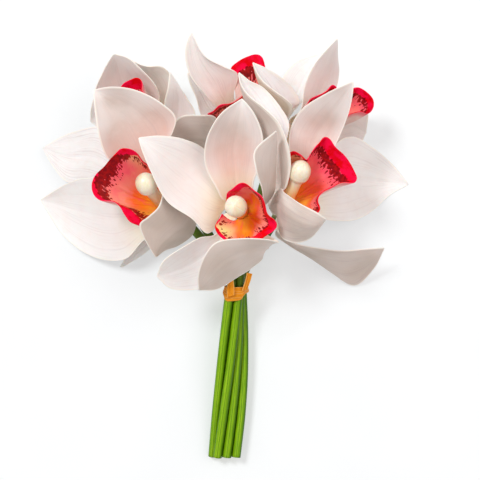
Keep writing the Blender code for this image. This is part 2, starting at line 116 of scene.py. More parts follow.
def travelled(points, axis=0):
    """How far each point of a curve or grid is from the first one of its line."""
    steps = np.linalg.norm(np.diff(points, axis=axis), axis=-1)
    return np.insert(np.cumsum(steps, axis=axis), 0, 0.0, axis=axis)


def read_at(points, places, wanted):
    """Points read between known ones, which lie at these places of a line."""
    return np.stack([np.interp(wanted, places, points[:, k]) for k in range(3)], axis=-1)


def curve_through(places, samples):
    """Evenly spread points on a smooth curve through the places, and its length."""
    places = np.array(places, float)
    steps = np.diff(places, axis=0)
    gaps = np.sqrt(np.maximum(np.linalg.norm(steps, axis=1), 0.1))[:, None]
    rates = steps / gaps
    inner = (rates[:-1] * gaps[1:] + rates[1:] * gaps[:-1]) / (gaps[:-1] + gaps[1:])
    slopes = np.vstack([rates[:1], inner, rates[-1:]])
    t = np.arange(CURVE_STEPS)[:, None] / CURVE_STEPS
    start, end = 2 * t ** 3 - 3 * t ** 2 + 1, 3 * t ** 2 - 2 * t ** 3
    leaving, arriving = t ** 3 - 2 * t ** 2 + t, t ** 3 - t ** 2
    dense = []
    for i, gap in enumerate(gaps):
        dense.append(start * places[i] + leaving * gap * slopes[i]
                     + end * places[i + 1] + arriving * gap * slopes[i + 1])
    dense = np.vstack(dense + [places[-1:]])
    lengths = travelled(dense)
    return read_at(dense, lengths, np.linspace(0, lengths[-1], samples)), lengths[-1]


def sampled(points, u):
    """The points of an evenly spread curve read at shares u of its length."""
    return read_at(points, np.arange(len(points)), np.clip(u, 0, 1) * (len(points) - 1))


print("curve test length", round(curve_through([seen(240, 240, 0), seen(240, 140, 0)], 5)[1], 1), "mm")

# %% [markdown]
# ## The plan of the bunch
#
# A cymbidium flower has five blades round a knob, three sepals and two petals, and a lip. A drawn
# point is three numbers: across, down, and its height in mm. Each blade is drawn as three rails, the
# left margin, the middle and the right margin, and a tip. Left and right are as you see them when
# you look at the blade's inner face with its tip up. A flower also has a place in mm, a tilt of its
# axis, its heading and the direction of its lip in degrees, and the rim of that lip.

# %% The flowers and their blades
Bloom = namedtuple("Bloom", "centre tilt heading lip rim blades")
CLOCK = {"right_sepal": 60, "right_petal": 120, "dorsal_sepal": 180,
         "left_petal": -120, "left_sepal": -60}


def groups(text):
    """Groups of numbers, with commas between the groups."""
    return [[float(number) for number in group.split()] for group in text.split(",")]


def drawn(text):
    return [seen(*point) for point in groups(text)]


def flower(centre, tilt, heading, lip, rim, **blades):
    """A flower; its blades' rails and tips are parted by semicolons."""
    blades = {part: [drawn(rail) for rail in text.split(";")] for part, text in blades.items()}
    return Bloom(np.array(centre, float), tilt, heading, lip, drawn(rim), blades)


BLOOMS = {}
BLOOMS["front"] = flower(
    (8, 18, 46), 6, 110, -30,
    rim="""222 214 56, 216 226 61, 218 234 62, 226 241 61, 238 246 58, 252 243 58, 264 237 60, 273 231 61,
    276 226 62, 268 212 65, 263 203 67, 261 196 68, 254 190 69, 243 184 70, 233 187 68, 228 194 64,
    226 202 58""",
    right_sepal="""262 206 45, 273 195 49, 276 165 58, 277 143 63; 262 204 50, 267 188 62, 269 155 70;
    262 204 54, 263 190 70, 256 171 79, 254 152 80; 276 131 72""",
    right_petal="""226 197 50, 206 167 58, 206 140 64, 220 115 68; 236 185 49, 233 150 54, 238 120 61;
    250 188 50, 261 160 58, 262 134 63, 254 113 66; 242 99 65""",
    dorsal_sepal="""207 232 50, 192 219 54, 168 202 58, 151 171 62, 143 153 63; 215 203 48, 185 180 52,
    158 156 59; 224 188 46, 206 151 51, 183 139 58, 160 136 62; 139 138 62""",
    left_petal="""230 256 41, 212 285 38, 190 290 38, 170 288 42; 217 243 43, 195 260 42, 174 271 44;
    216 235 46, 199 238 50, 179 249 54, 163 262 53; 157 276 48""",
    left_sepal="""262 234 50, 279 242 58, 268 239 66, 240 239 72, 216 243 74, 204 257 70, 198 275 63;
    256 238 46, 268 247 52, 250 252 60, 225 264 62, 208 280 58; 250 242 42, 263 257 46, 252 267 47,
    240 275 47, 218 289 49; 199 290 55""")
BLOOMS["right"] = flower(
    (30, 22, 38), 45, 61, 28,
    rim="""288 213 48, 300 213 54, 312 215 56, 318 210 56, 318 201 55, 323 192 53, 334 186 51, 346 183 50,
    356 179 49, 355 172 49, 346 158 50, 335 146 52, 325 138 54, 317 144 54, 312 153 54, 307 160 54,
    301 154 56, 292 153 57, 287 162 55""",
    right_sepal="""294 174 36, 289 152 38, 290 130 42, 302 110 50, 327 93 55; 307 172 34, 314 142 37,
    332 112 47; 320 172 35, 338 140 40, 348 114 48, 352 97 54; 353 82 57""",
    right_petal="""286 185 52, 290 155 62, 280 124 66, 265 109 65, 250 97 62, 241 84 58; 278 180 44,
    264 150 46, 252 115 48, 243 92 52; 281 180 40, 284 150 42, 289 124 46, 280 107 50, 262 87 53,
    250 81 55; 239 73 57""",
    dorsal_sepal="""277 216 50, 282 237 51, 296 242 52, 311 238 56; 278 205 54, 286 213 66, 302 222 68,
    316 225 66; 280 189 52, 285 193 64, 300 204 68, 316 212 68; 326 219 64""",
    left_petal="""276 234 26, 286 243 24, 308 257 18, 332 273 8, 355 285 1, 373 270 10; 279 233 29,
    292 243 28, 315 256 23, 345 264 16, 368 258 20; 276 230 33, 290 241 34, 308 246 33, 335 251 31,
    362 249 27; 384 248 25""",
    left_sepal="""322 168 31, 339 141 32, 352 137 30, 372 147 20, 392 164 5; 312 197 33, 345 182 19,
    371 181 5, 386 182 0.3; 305 214 33, 330 220 24, 354 220 13, 372 211 5, 390 195 0.3; 408 184 0.3""")
BLOOMS["left"] = flower(
    (-30, 22, 34), 30, 146, 180,
    rim="""152 174 46, 145 162 50, 137 154 53, 128 149 54, 120 149 53, 112 159 52, 100 170 50, 92 184 48,
    94 195 48, 108 201 49, 121 207 49, 125 214 49, 130 222 49, 140 225 47, 152 223 44""",
    right_sepal="""147 233 24, 127 258 15, 105 260 9, 84 252 5, 63 235 1, 50 216 0.3; 140 215 27,
    105 215 16, 74 208 4, 60 204 0.3; 142 200 31, 112 180 28, 88 178 20, 64 185 7; 41 200 0.3""",
    right_petal="""174 225 22, 163 240 14, 148 250 7, 134 260 3; 163 225 22, 145 245 11; 155 228 18,
    132 248 8; 121 267 1""",
    dorsal_sepal="""178 186 42, 161 184 52, 162 194 54, 158 207 56, 148 217 56, 140 224 54, 143 236 50;
    188 205 36, 185 222 38, 168 236 43, 158 248 43; 196 218 28, 193 234 26, 178 245 29, 165 250 35;
    156 257 41""",
    left_petal="""144 178 34, 120 168 40, 107 157 45, 99 135 50, 95 112 50; 153 178 36, 145 148 40,
    125 116 44; 168 185 38, 166 150 44, 176 118 52, 163 104 54, 137 91 52, 113 87 51; 94 90 48""",
    left_sepal="""132 191 26, 100 184 17, 80 183 11, 66 181 9, 52 165 7; 132 180 28, 95 156 20, 68 156 11;
    138 165 30, 115 135 27, 97 127 24, 84 129 20, 63 136 12; 43 148 6""")
BLOOMS["back_left"] = flower(
    (-38, 58, 18), 30, 110, 100,
    rim="""161 124 27, 158 111 31, 151 99 34, 144 91 35, 142 84 35, 137 79 35, 130 80 35, 124 83 35,
    121 88 34, 120 100 32, 126 113 31, 133 122 28""",
    right_sepal="""130 122 22, 106 116 26, 95 93 30, 103 71 34; 136 116 14, 126 95 18, 119 72 28;
    149 118 10, 160 101 22, 156 87 31, 142 71 38, 128 58 41; 114 54 40""",
    right_petal="""138 140 9, 118 141 6, 102 130 6; 136 130 11, 116 122 8, 100 114 8; 132 127 12,
    112 104 13, 96 97 14, 91 109 11; 91 122 7""",
    dorsal_sepal="""150 158 11, 150 174 7; 143 155 10, 136 172 5; 135 150 11, 124 164 7; 124 190 3""",
    left_petal="""165 118 25, 165 103 33, 168 89 37; 174 122 20, 178 104 26, 176 88 33; 182 132 18,
    195 115 20, 187 98 27, 178 84 33; 170 73 38""",
    left_sepal="""150 112 8, 134 86 11, 126 68 20; 160 108 8, 150 86 14, 139 70 25; 173 106 10, 171 77 22,
    161 67 28, 146 66 31; 128 59 32""")
BLOOMS["back"] = flower(
    (4, 60, 18), 12, 30, 72,
    rim="""252 122 22, 258 112 24, 262 100 27, 264 84 30, 266 69 33, 261 57 34, 255 55 34, 246 57 33,
    238 62 32, 231 69 30, 243 80 32, 248 90 38, 242 97 43, 228 104 43, 215 109 40, 208 114 36,
    213 122 30""",
    right_sepal="""218 110 23, 207 97 33, 192 79 40, 186 60 43, 186 46 44; 226 109 18, 217 88 29,
    201 62 38; 232 108 15, 234 92 24, 237 74 36, 223 66 40, 204 55 43; 191 33 43""",
    right_petal="""214 126 15, 201 115 21, 196 97 27, 190 83 29; 219 121 14, 208 106 19, 199 90 25;
    223 117 14, 214 101 20, 202 84 29; 188 73 30""",
    dorsal_sepal="""227 147 20, 222 136 28, 215 117 37, 201 115 41, 180 117 38; 222 147 17, 215 145 21,
    203 138 28, 182 138 30; 219 150 12.5, 213 156 12, 203 158 15, 182 155 20; 166 140 29""",
    left_petal="""256 139 15, 268 152 15; 249 143 14, 259 158 13; 241 146 15, 247 163 14; 265 176 13""",
    left_sepal="""250 114 15, 265 106 13; 252 124 13, 266 119 11; 254 133 13, 268 130 11; 280 115 9""")
BLOOMS["back_right"] = flower(
    (37, 58, 15), 45, 25, 25,
    rim="""322 138 22, 333 130 25, 342 121 28, 351 113 30, 360 112 31, 367 115 31, 372 108 31, 373 100 31,
    368 93 32, 360 89 33, 348 90 34, 338 90 34, 333 86 36, 326 91 37, 316 97 37, 308 103 34,
    301 114 30""",
    right_sepal="""300 112 18, 304 90 26, 314 66 35, 325 51 41; 309 112 13, 321 88 20, 330 65 31;
    318 114 11, 334 92 14, 339 72 22, 338 57 32; 337 39 41""",
    right_petal="""284 112 10, 280 92 8, 284 76 5, 297 62 1, 309 57 0.3; 291 110 9, 298 90 5, 308 71 1,
    313 63 0.3; 295 109 8, 314 90 7, 321 70 4; 322 54 0.3""",
    dorsal_sepal="""287 122 24, 292 106 38, 274 91 44, 262 80 44; 281 121 18, 271 104 27, 260 83 36;
    287 112 16, 299 103 22, 292 88 29, 279 76 35, 266 68 39; 253 63 42""",
    left_petal="""312 150 12, 322 165 8; 302 152 10, 308 168 6; 292 150 12, 294 165 9; 310 185 4""",
    left_sepal="""318 126 9, 340 106 12, 357 107 13, 367 112 11; 316 136 7, 340 130 6, 356 128 6;
    314 146 7, 338 152 5, 358 148 5; 366 133 6""")
print(len(BLOOMS), "flowers,", sum(len(bloom.blades) for bloom in BLOOMS.values()), "blades")

# %% [markdown]
# ## A blade's surface
#
# Between the three rails the cross-section is a parabola, which makes the shallow trough that a
# sepal has. The rails start at the knob, side by side, so that every blade grows out of the flower's
# own centre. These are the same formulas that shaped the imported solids, with more rows and columns.

# %% Knob, levels and the flower's own axes
KNOB_RADIUS = 3.5
BASE_GAP = 0.35
BASE_HALF_WIDTH = 2.2
TIP_HALF_WIDTH = 0.4
SEPAL_LEVEL = -2.6
PETAL_LEVEL = -0.9
LIP_LEVEL = 0.3
NECK = 3.5
RAIL_STEPS = 120


def flower_frame(bloom):
    """The way the flower faces, the way to its lip, and the way round from the lip."""
    tilt, heading, lip = (radians(x) for x in (bloom.tilt, bloom.heading, bloom.lip))
    axis = np.array([sin(tilt) * cos(heading), sin(tilt) * sin(heading), cos(tilt)])
    down = np.array([cos(lip), sin(lip), 0.0])
    down = unit(down - down.dot(axis) * axis)
    return axis, down, np.cross(axis, down)


def blade_rails(bloom, part):
    """The three rails of a blade as evenly spread points, and the length of the middle one."""
    left, middle, right, [tip] = bloom.blades[part]
    axis, down, around = flower_frame(bloom)
    clock = radians(CLOCK[part])
    out = cos(clock) * down + sin(clock) * around
    level = PETAL_LEVEL if part.endswith("petal") else SEPAL_LEVEL
    foot = bloom.centre + (KNOB_RADIUS + BASE_GAP) * out + level * axis
    side = np.cross(out, axis)
    end = unit(tip - middle[-1])
    last = right[-1] - left[-1]
    last = unit(last - last.dot(end) * end)
    rails = []
    for rail, v in ((left, -1), (middle, 0), (right, 1)):
        start = foot + v * BASE_HALF_WIDTH * side
        places = [start, start + NECK * out, *rail, tip + v * TIP_HALF_WIDTH * last]
        rails.append(curve_through(places, RAIL_STEPS + 1))
    return [points for points, length in rails], rails[1][1]


def blade_points(rails, u, v):
    """Points of the blade's middle sheet: u from foot to tip, v from left to right margin."""
    left, middle, right = (sampled(rail, u) for rail in rails)
    v = v[..., None]
    return middle + v * (right - left) / 2 + v * v * ((right + left) / 2 - middle)


print("front flower faces", flower_frame(BLOOMS["front"])[0].round(2))

# %% [markdown]
# ## From a surface to a piece with two faces
#
# A real petal has an inner face and an outer face about a millimetre apart, and a soft, rounded
# margin. The mesh is built the same way: one grid of points in front, one behind, and a strip that
# closes the rim. The sheet thins towards its margin, as petals do. Each point also carries a few
# numbers (attributes) that say where on the blade it is. The materials read them, so veins follow
# the blade and the speckles stay inside the lip however it curls.

# %% Grid to closed sheet
RIM_ROUND = 0.6
LAID_FACE = 0.3


def add_piece(node, places_mm, faces, numbers, finish, slot):
    """One mesh object, with its attributes and material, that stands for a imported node."""
    mesh = bpy.data.meshes.new("fine_" + node)
    mesh.from_pydata([tuple(place) for place in np.asarray(places_mm) * MM], [], faces)
    mesh.update()
    for key, values in numbers.items():
        stored = mesh.attributes.new(key, "FLOAT", "POINT")
        stored.data.foreach_set("value", np.full(len(places_mm), values, np.float32))
    mesh.materials.append(finish)
    mesh.shade_smooth()
    piece = add_object("fine_" + node, mesh)
    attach(piece, ROOT)
    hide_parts(node)


def grid_normals(points):
    """Unit normals of a grid of points, towards the flower's face."""
    return unit(np.cross(np.gradient(points, axis=1), np.gradient(points, axis=0)))


def closed_sheet(middle, half_thickness, inner_rim, **grids):
    """Places, faces and numbers of a sheet round a grid of points: inner face, outer face, then rim.

    The number "inner" is 1 on the inner face, 0 on the outer one and inner_rim on the rim.
    """
    rows, columns = middle.shape[:2]
    offset = grid_normals(middle) * half_thickness[..., None]
    front, back = middle + offset, middle - offset
    front[..., 2] = np.maximum(front[..., 2], LAID_FACE)
    back[..., 2] = np.maximum(back[..., 2], 0.0)
    number = np.arange(rows * columns).reshape(rows, columns)
    a = number[:-1, :-1].ravel()
    quads = np.stack([a, a + 1, a + 1 + columns, a + columns], axis=1)
    ring = np.concatenate([number[0, :-1], number[:-1, -1], number[-1, :0:-1], number[:0:-1, 0]])
    inwards = np.pad(number[1:-1, 1:-1], 1, mode="edge").ravel()[ring]
    flat = middle.reshape(-1, 3)
    outward = unit(flat[ring] - flat[inwards])
    bend = flat[ring] + outward * half_thickness.ravel()[ring][:, None] * RIM_ROUND
    bend[:, 2] = np.maximum(bend[:, 2], 0.0)
    count = rows * columns
    bend_number = 2 * count + np.arange(len(ring))
    ahead, bend_ahead = np.roll(ring, -1), np.roll(bend_number, -1)
    rim = [[ring, bend_number, bend_ahead, ahead], [bend_number, ring + count, ahead + count, bend_ahead]]
    faces = np.vstack([quads, quads[:, ::-1] + count, np.transpose(rim, (2, 0, 1)).reshape(-1, 4)])
    numbers = {"inner": np.repeat([1.0, 0.0, inner_rim], [count, count, len(ring)])}
    for key, grid in grids.items():
        values = np.broadcast_to(grid, (rows, columns)).ravel()
        numbers[key] = np.concatenate([values, values, values[ring]])
    return np.vstack([front.reshape(-1, 3), back.reshape(-1, 3), bend]), faces.tolist(), numbers


square = np.stack([*np.meshgrid([0.0, 1.0, 2.0], [0.0, 1.0, 2.0], indexing="ij"), np.ones((3, 3))], axis=-1)
print("faces of a closed sheet of two by two squares:", len(closed_sheet(square, np.ones((3, 3)), 0.5)[1]))

# %% [markdown]
# ## Materials from nodes
#
# Everything here is coloured by maths, not by pictures. `Recipe` is a small helper that adds nodes
# and joins them, and an `Amount` is a number that nodes work out, which can be added and multiplied
# like any other, so a material reads from top to bottom like a recipe. Colours are written as the
# red, green and blue you would pick on screen and turned into the linear values a shader needs.

# %% A helper that writes node trees
def ink(text):
    """A screen colour such as f5003c as linear red, green, blue and alpha."""
    values = [int(text[k:k + 2], 16) / 255 for k in (0, 2, 4)]
    linear = [v / 12.92 if v <= 0.04045 else ((v + 0.055) / 1.055) ** 2.4 for v in values]
    return (*linear, 1.0)


class Amount:
    """A number that nodes work out."""

    def __init__(self, recipe, socket):
        self.recipe = recipe
        self.socket = socket

    def __add__(self, other):
        return self.recipe.maths("ADD", self, other)

    def __sub__(self, other):
        return self.recipe.maths("SUBTRACT", self, other)

    def __rsub__(self, other):
        return self.recipe.maths("SUBTRACT", other, self)

    def __mul__(self, other):
        return self.recipe.maths("MULTIPLY", self, other)

    def span(self, low, high, start=0.0, end=1.0):
        """Maps low..high softly to start..end, and no further."""
        node = self.recipe.node("MapRange", {"interpolation_type": "SMOOTHSTEP"}, Value=self,
                                From_Min=low, From_Max=high, To_Min=start, To_Max=end)
        return Amount(self.recipe, node.outputs["Result"])


class Recipe:
    """A node material, built one ingredient at a time."""

    def __init__(self, name):
        self.material = bpy.data.materials.new(name)
        self.material.use_nodes = True
        self.tree = self.material.node_tree
        self.shader = self.tree.nodes["Principled BSDF"]

    def put(self, socket, value):
        """Joins a socket to what a node gives, or sets its value; a text is a screen colour."""
        if isinstance(value, Amount):
            value = value.socket
        if isinstance(value, bpy.types.NodeSocket):
            self.tree.links.new(value, socket)
        else:
            socket.default_value = ink(value) if isinstance(value, str) else value

    def node(self, kind, settings=(), **inputs):
        """A new node; an underscore in an input's name stands for a space."""
        node = self.tree.nodes.new("ShaderNode" + kind)
        for key, value in dict(settings).items():
            setattr(node, key, value)
        for key, value in inputs.items():
            self.put(node.inputs[key.replace("_", " ")], value)
        return node

    def numbers(self, names):
        """The numbers that the mesh's points carry under these names."""
        nodes = [self.node("Attribute", {"attribute_name": name}) for name in names.split()]
        return [Amount(self, node.outputs["Fac"]) for node in nodes]

    def maths(self, operation, first, second=0.0, clamp=False):
        node = self.node("Math", {"operation": operation, "use_clamp": clamp})
        self.put(node.inputs[0], first)
        self.put(node.inputs[1], second)
        return Amount(self, node.outputs[0])

    def mix(self, share, first, second):
        return self.node("Mix", {"data_type": "RGBA"}, Factor=share, A=first, B=second).outputs["Result"]

    def ramp(self, value, *stops):
        """Colours along a value: each stop is (place, colour)."""
        node = self.node("ValToRGB", Fac=value)
        while len(node.color_ramp.elements) < len(stops):
            node.color_ramp.elements.new(0.5)
        for element, (place, colour) in zip(node.color_ramp.elements, stops):
            element.position = place
            element.color = ink(colour)
        return node.outputs["Color"]

    def place(self, x, y, z):
        """A texture position made of three numbers."""
        return self.node("CombineXYZ", X=x, Y=y, Z=z).outputs[0]

    def object_place(self):
        """Where a point is in the object's own space, in metres."""
        return self.node("TexCoord").outputs["Object"]

    def noise(self, where, scale, detail=2.0, roughness=0.5, distortion=0.0):
        node = self.node("TexNoise", Vector=where, Scale=scale, Detail=detail, Roughness=roughness,
                         Distortion=distortion)
        return Amount(self, node.outputs["Fac"])

    def cells(self, where, scale):
        return Amount(self, self.node("TexVoronoi", Vector=where, Scale=scale).outputs["Distance"])

    def bump(self, height, distance, strength):
        node = self.node("Bump", Height=height, Distance=distance, Strength=strength)
        self.put(self.shader.inputs["Normal"], node.outputs["Normal"])

    def finish(self, colour, roughness, **plain):
        """Colour and roughness may be worked out by nodes; the rest is set on the shader itself."""
        for key, value in {"Base_Color": colour, "Roughness": roughness, **plain}.items():
            self.put(self.shader.inputs[key.replace("_", " ")], value)
        return self.material


print("white as a shader sees it", [round(v, 2) for v in ink("f4eeee")[:3]])

# %% [markdown]
# ## The finish of a sepal or petal
#
# Orchid tissue is waxy and slightly see-through: white, with a pink blush that comes and goes and
# turns to a painted taupe shade towards the tip, a creamy yellow foot, a painted highlight along the
# rim where the two faces meet, and fine veins that run from foot to tip. The outer face is painted a
# little greyer, as shade. Some light goes in and comes out again nearby, which is what subsurface
# scattering does.

# %% Petal material
def petal_finish():
    dye = Recipe("petal")
    along, across, along_mm, across_mm, edge_mm = dye.numbers("along across along_mm across_mm edge_mm")
    inner, seed, blush, cream, veins = dye.numbers("inner seed blush cream veins")
    spot = dye.place(across_mm, along_mm, seed)
    cloud = dye.noise(spot, 0.045)
    mottle = dye.noise(spot, 0.22, 4.0, 0.6)
    middle = edge_mm.span(0.5, 9.0, 0.55, 1.0) * along.span(0.9, 1.0, 1.0, 0.6)
    # Painted shade: the blush runs from pink at the foot to a taupe shade towards the tip, and is set
    # stronger on the blades that lie in shade.
    blush_and_shade_tint = dye.mix(along.span(0.35, 0.8), "ecc8bd", "d0c1b9")
    face = dye.mix(cloud.span(0.30, 0.70, 0.55, 1.0) * middle * blush, "faf8f8", blush_and_shade_tint)
    face = dye.mix(mottle.span(0.42, 0.72, 0.0, 0.18), face, "eedcd7")
    # Painted shade: the outer face is painted a greyer taupe than the inner one.
    outer = dye.mix(cloud.span(0.35, 0.7), "dfd4cd", "d2c5bb")
    outer = dye.mix(cream, outer, "f6ebcc")
    tissue = dye.mix(inner, outer, face)
    tissue = dye.mix(along.span(0.05, 0.45, 0.75, 0.0) * inner, tissue, "fdeec6")
    wander = dye.noise(dye.place(across * 3.0, along, seed), 2.0)
    line = dye.maths("SINE", across * 34.0 + wander * 9.0)
    vein = dye.maths("POWER", dye.maths("ABSOLUTE", line), 0.5)
    fade = dye.noise(dye.place(across * 5.0, along * 2.0, seed), 1.6).span(0.38, 0.70) * veins
    tissue = dye.mix((1.0 - vein) * fade * 0.55, tissue, "bda9ad")
    # Painted highlight: a paler, near-white line along the margin where the two faces meet.
    tissue = dye.mix(edge_mm.span(0.2, 0.75, 1.0, 0.0) * 0.8, tissue, "fffaf2")
    grain = dye.noise(dye.place(across_mm, along_mm * 0.35, seed), 2.2, 4.0)
    dye.bump(vein * fade + grain * 0.35, 0.00012, 0.55)
    return dye.finish(tissue, grain.span(0.3, 0.7, 0.46, 0.6), Subsurface_Weight=0.2, Subsurface_Scale=0.0012,
                      Subsurface_Radius=(1.0, 0.55, 0.45), Specular_IOR_Level=0.25, Sheen_Weight=0.05)


PETAL = petal_finish()
print("petal nodes:", len(PETAL.node_tree.nodes))

# %% [markdown]
# ## The thirty blades
#
# Each blade gets a shallow groove along its middle, faint lengthwise ridges where the veins run and
# a margin that waves a little, all smaller than a millimetre. That could be left to a bump map, but
# real relief catches the light from every side and stays in the mesh when the object is exported.
# Just past its foot, behind the lip, a blade is up to a third wider than its plan, so that
# neighbours overlap there as real ones do and no slit shows the table.

# %% Blades: size of the grid and of the small relief
BLADE_ROWS = 72
BLADE_COLUMNS = 36
BLADE_HALF = 0.45
MARGIN_HALF = 0.26
GROOVE_DEPTH = 0.35
GROOVE_WIDTH = 0.07
RIDGE_DEPTH = 0.07
RIDGES = 7
WAVE_DEPTH = 0.35
WAVE_LENGTH = 5.5
FOOT_SWELL = 0.35
FOOT_PLACE = 0.12
FOOT_SPREAD = 0.09

# How strong the veins, the blush with its painted shade and the cream tint are; the last value is for all
# other blades
TINTS = {
    "veins": dict(dorsal_sepal_right=1.2, left_petal_right=1.2, left_sepal_left=0.9,
                  dorsal_sepal_back_right=0.8, right_petal_left=0.7, right_sepal_back=0.7, others=0.45),
    "blush": dict(right_petal_front=1.0, dorsal_sepal_front=0.35, right_sepal_front=0.3, left_petal_front=0.0,
                  left_sepal_front=0.3, right_sepal_right=1.0, left_sepal_right=0.25, right_petal_right=0.1,
                  dorsal_sepal_right=0.6, left_petal_left=1.5, left_sepal_left=0.03, right_sepal_left=0.2,
                  right_sepal_back_left=0.6, left_sepal_back_left=0.5, right_sepal_back=0.5,
                  dorsal_sepal_back_right=0.0, right_sepal_back_right=0.6, right_petal_back_right=0.1,
                  others=0.4),
    "cream": dict(left_petal_back_left=1.0, right_petal_back=0.8, dorsal_sepal_back_right=0.5,
                  left_sepal_back_left=0.3, right_petal_left=0.2, others=0.0),
}


def bell(distance, width):
    """One at no distance, falling softly to nothing."""
    return np.exp(-(distance / width) ** 2)


def blade_piece(bloom, part, node, seed):
    """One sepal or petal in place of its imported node, and its length."""
    rails, length = blade_rails(bloom, part)
    across = np.sin(np.linspace(-1, 1, BLADE_COLUMNS + 1) * pi / 2)
    u, v = np.meshgrid(np.linspace(0, 1, BLADE_ROWS + 1), across, indexing="ij")
    middle = blade_points(rails, u, v)
    centre = middle[:, BLADE_COLUMNS // 2][:, None, :]
    middle = centre + (middle - centre) * (1 + FOOT_SWELL * bell(u - FOOT_PLACE, FOOT_SPREAD))[..., None]
    width = np.linalg.norm(middle[:, -1] - middle[:, 0], axis=1)[:, None]
    body = np.sin(pi * np.clip(u * 1.05 - 0.02, 0, 1)) ** 0.7
    relief = -GROOVE_DEPTH * bell(v, GROOVE_WIDTH) * body
    relief += RIDGE_DEPTH * np.cos(v * pi * RIDGES + seed) * body * (1 - v ** 2)
    relief += WAVE_DEPTH * np.sin(u * length / WAVE_LENGTH + seed * 1.7 + 2.0 * v) * np.abs(v) ** 5 * body
    middle = middle + grid_normals(middle) * relief[..., None]
    half = MARGIN_HALF + (BLADE_HALF - MARGIN_HALF) * (1 - np.abs(v) ** 3) * (1 - u ** 6)
    edge_mm = np.minimum((1 - np.abs(v)) * width / 2, (1 - u) * length)
    tints = {key: table.get(node, table["others"]) for key, table in TINTS.items()}
    sheet = closed_sheet(middle, half, 0.5, along=u, across=v, along_mm=u * length,
                         across_mm=v * width / 2, edge_mm=edge_mm, seed=seed * 7.3, **tints)
    add_piece(node, *sheet, PETAL, "petal")
    return length


blade_lengths = []
for name, bloom in BLOOMS.items():
    for part in bloom.blades:
        blade_lengths.append(blade_piece(bloom, part, f"{part}_{name}", len(blade_lengths) + 1))
print("blades made:", len(blade_lengths), "the longest", round(max(blade_lengths)), "mm")

# %% [markdown]
# ## The lip
#
# The sixth blade of an orchid is its lip, the landing place for bees. It stands up round the column
# like a collar and its rim flares and frills. Each point starts at the knob, is carried outwards and
# upwards, and ends on the drawn rim. Two soft ridges run up its middle, as on the real flower.

# %% Lip surface
LIP_FOOT = 78.0
LIP_GAP = 0.7
LIP_RISE = 32.0
LIP_PULL = 0.7
LIP_ROWS = 64
LIP_COLUMNS = 128
LIP_HALF = 0.5
LIP_MARGIN_HALF = 0.3
FRILL_DEPTH = 0.55
FRILL_LENGTH = 2.1
FRILL_CHANGE = 4.3
KEEL_HEIGHT = 0.8
KEEL_PLACE = 0.12
KEEL_WIDTH = 0.035
KEEL_END = 0.72


def lip_middle(bloom, u, v):
    """The lip's middle sheet and the length of its rim."""
    axis, down, around = flower_frame(bloom)
    rim, rim_length = curve_through(bloom.rim, RAIL_STEPS + 1)
    edge = sampled(rim, (v + 1) / 2)
    turn = np.radians(LIP_FOOT * v)[..., None]
    out = np.cos(turn) * down + np.sin(turn) * around
    foot = bloom.centre + LIP_LEVEL * axis + (KNOB_RADIUS + LIP_GAP) * out
    rise = radians(LIP_RISE)
    reach = edge - foot
    away = unit(cos(rise) * out + sin(rise) * axis + LIP_PULL * unit(reach))
    bend = foot + 0.5 * np.linalg.norm(reach, axis=2, keepdims=True) * away
    u = u[..., None]
    return (1 - u) ** 2 * foot + 2 * u * (1 - u) * bend + u * u * edge, rim_length


def lip_piece(name, bloom, seed):
    """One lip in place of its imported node."""
    rise = np.sin(np.linspace(0, 1, LIP_ROWS + 1) * pi / 2)
    u, v = np.meshgrid(rise, np.linspace(1, -1, LIP_COLUMNS + 1), indexing="ij")
    middle, rim_length = lip_middle(bloom, u, v)
    normals = grid_normals(middle)
    rim_mm = (v + 1) / 2 * rim_length
    frill = FRILL_DEPTH * np.sin(rim_mm / FRILL_LENGTH + seed)
    frill = frill * (1 + 0.5 * np.sin(rim_mm / FRILL_CHANGE + 2 * seed))
    frill = frill * u ** 5 * np.clip((1 - np.abs(v)) * 8, 0, 1)
    keels = KEEL_HEIGHT * bell(np.abs(v) - KEEL_PLACE, KEEL_WIDTH)
    keels = keels * np.sin(pi * np.clip(u / KEEL_END, 0, 1)) ** 0.7 / 2
    middle = middle + normals * frill[..., None]
    half = LIP_MARGIN_HALF + (LIP_HALF - LIP_MARGIN_HALF) * (1 - u ** 5) * (1 - v ** 8) + keels
    along_mm = travelled(middle)
    edge_mm = np.minimum(along_mm[-1] - along_mm, (1 - np.abs(v)) * rim_length / 2)
    grids = {}
    for key, patches in LIP_PATCHES.items():
        grids[key] = np.zeros_like(u)
        for patch_u, patch_v, half_u, half_v, strength in patches.get(name, ()):
            patch = strength * bell(u - patch_u, half_u) * bell(v - patch_v, half_v)
            grids[key] = np.maximum(grids[key], patch)
    paint = np.array(groups(LIP_PAINT[name]))
    margin, near, far, crowd = (np.interp(v, paint[:, 0], paint[:, k]) for k in (1, 2, 3, 4))
    grids["started"] = np.clip(edge_mm - near, -5, 9)
    grids["beyond"] = np.clip(edge_mm - far, -5, 12)
    sheet = closed_sheet(middle + normals * keels[..., None], half, 1.0, along=u, along_mm=along_mm,
                         across_mm=rim_mm, edge_mm=edge_mm, seed=seed * 3.1, margin=margin,
                         crowd=crowd, **grids)
    add_piece("lip_" + name, *sheet, LIP, "lip")


print("front lip's rim", round(lip_middle(BLOOMS["front"], np.ones((1, 1)), np.zeros((1, 1)))[1]), "mm")

# %% [markdown]
# ## The finish of a lip
#
# A cymbidium's lip is painted in zones: a yellow to orange throat, a coral middle and a crimson
# margin, with a band of maroon freckles between the last two. `LIP_PAINT` walks round the rim and
# says, in mm from the edge, how wide the crimson is and where the freckled band starts and ends, and
# how crowded it is. `LIP_PATCHES` adds places that are paler, more orange or more rose than the rest.

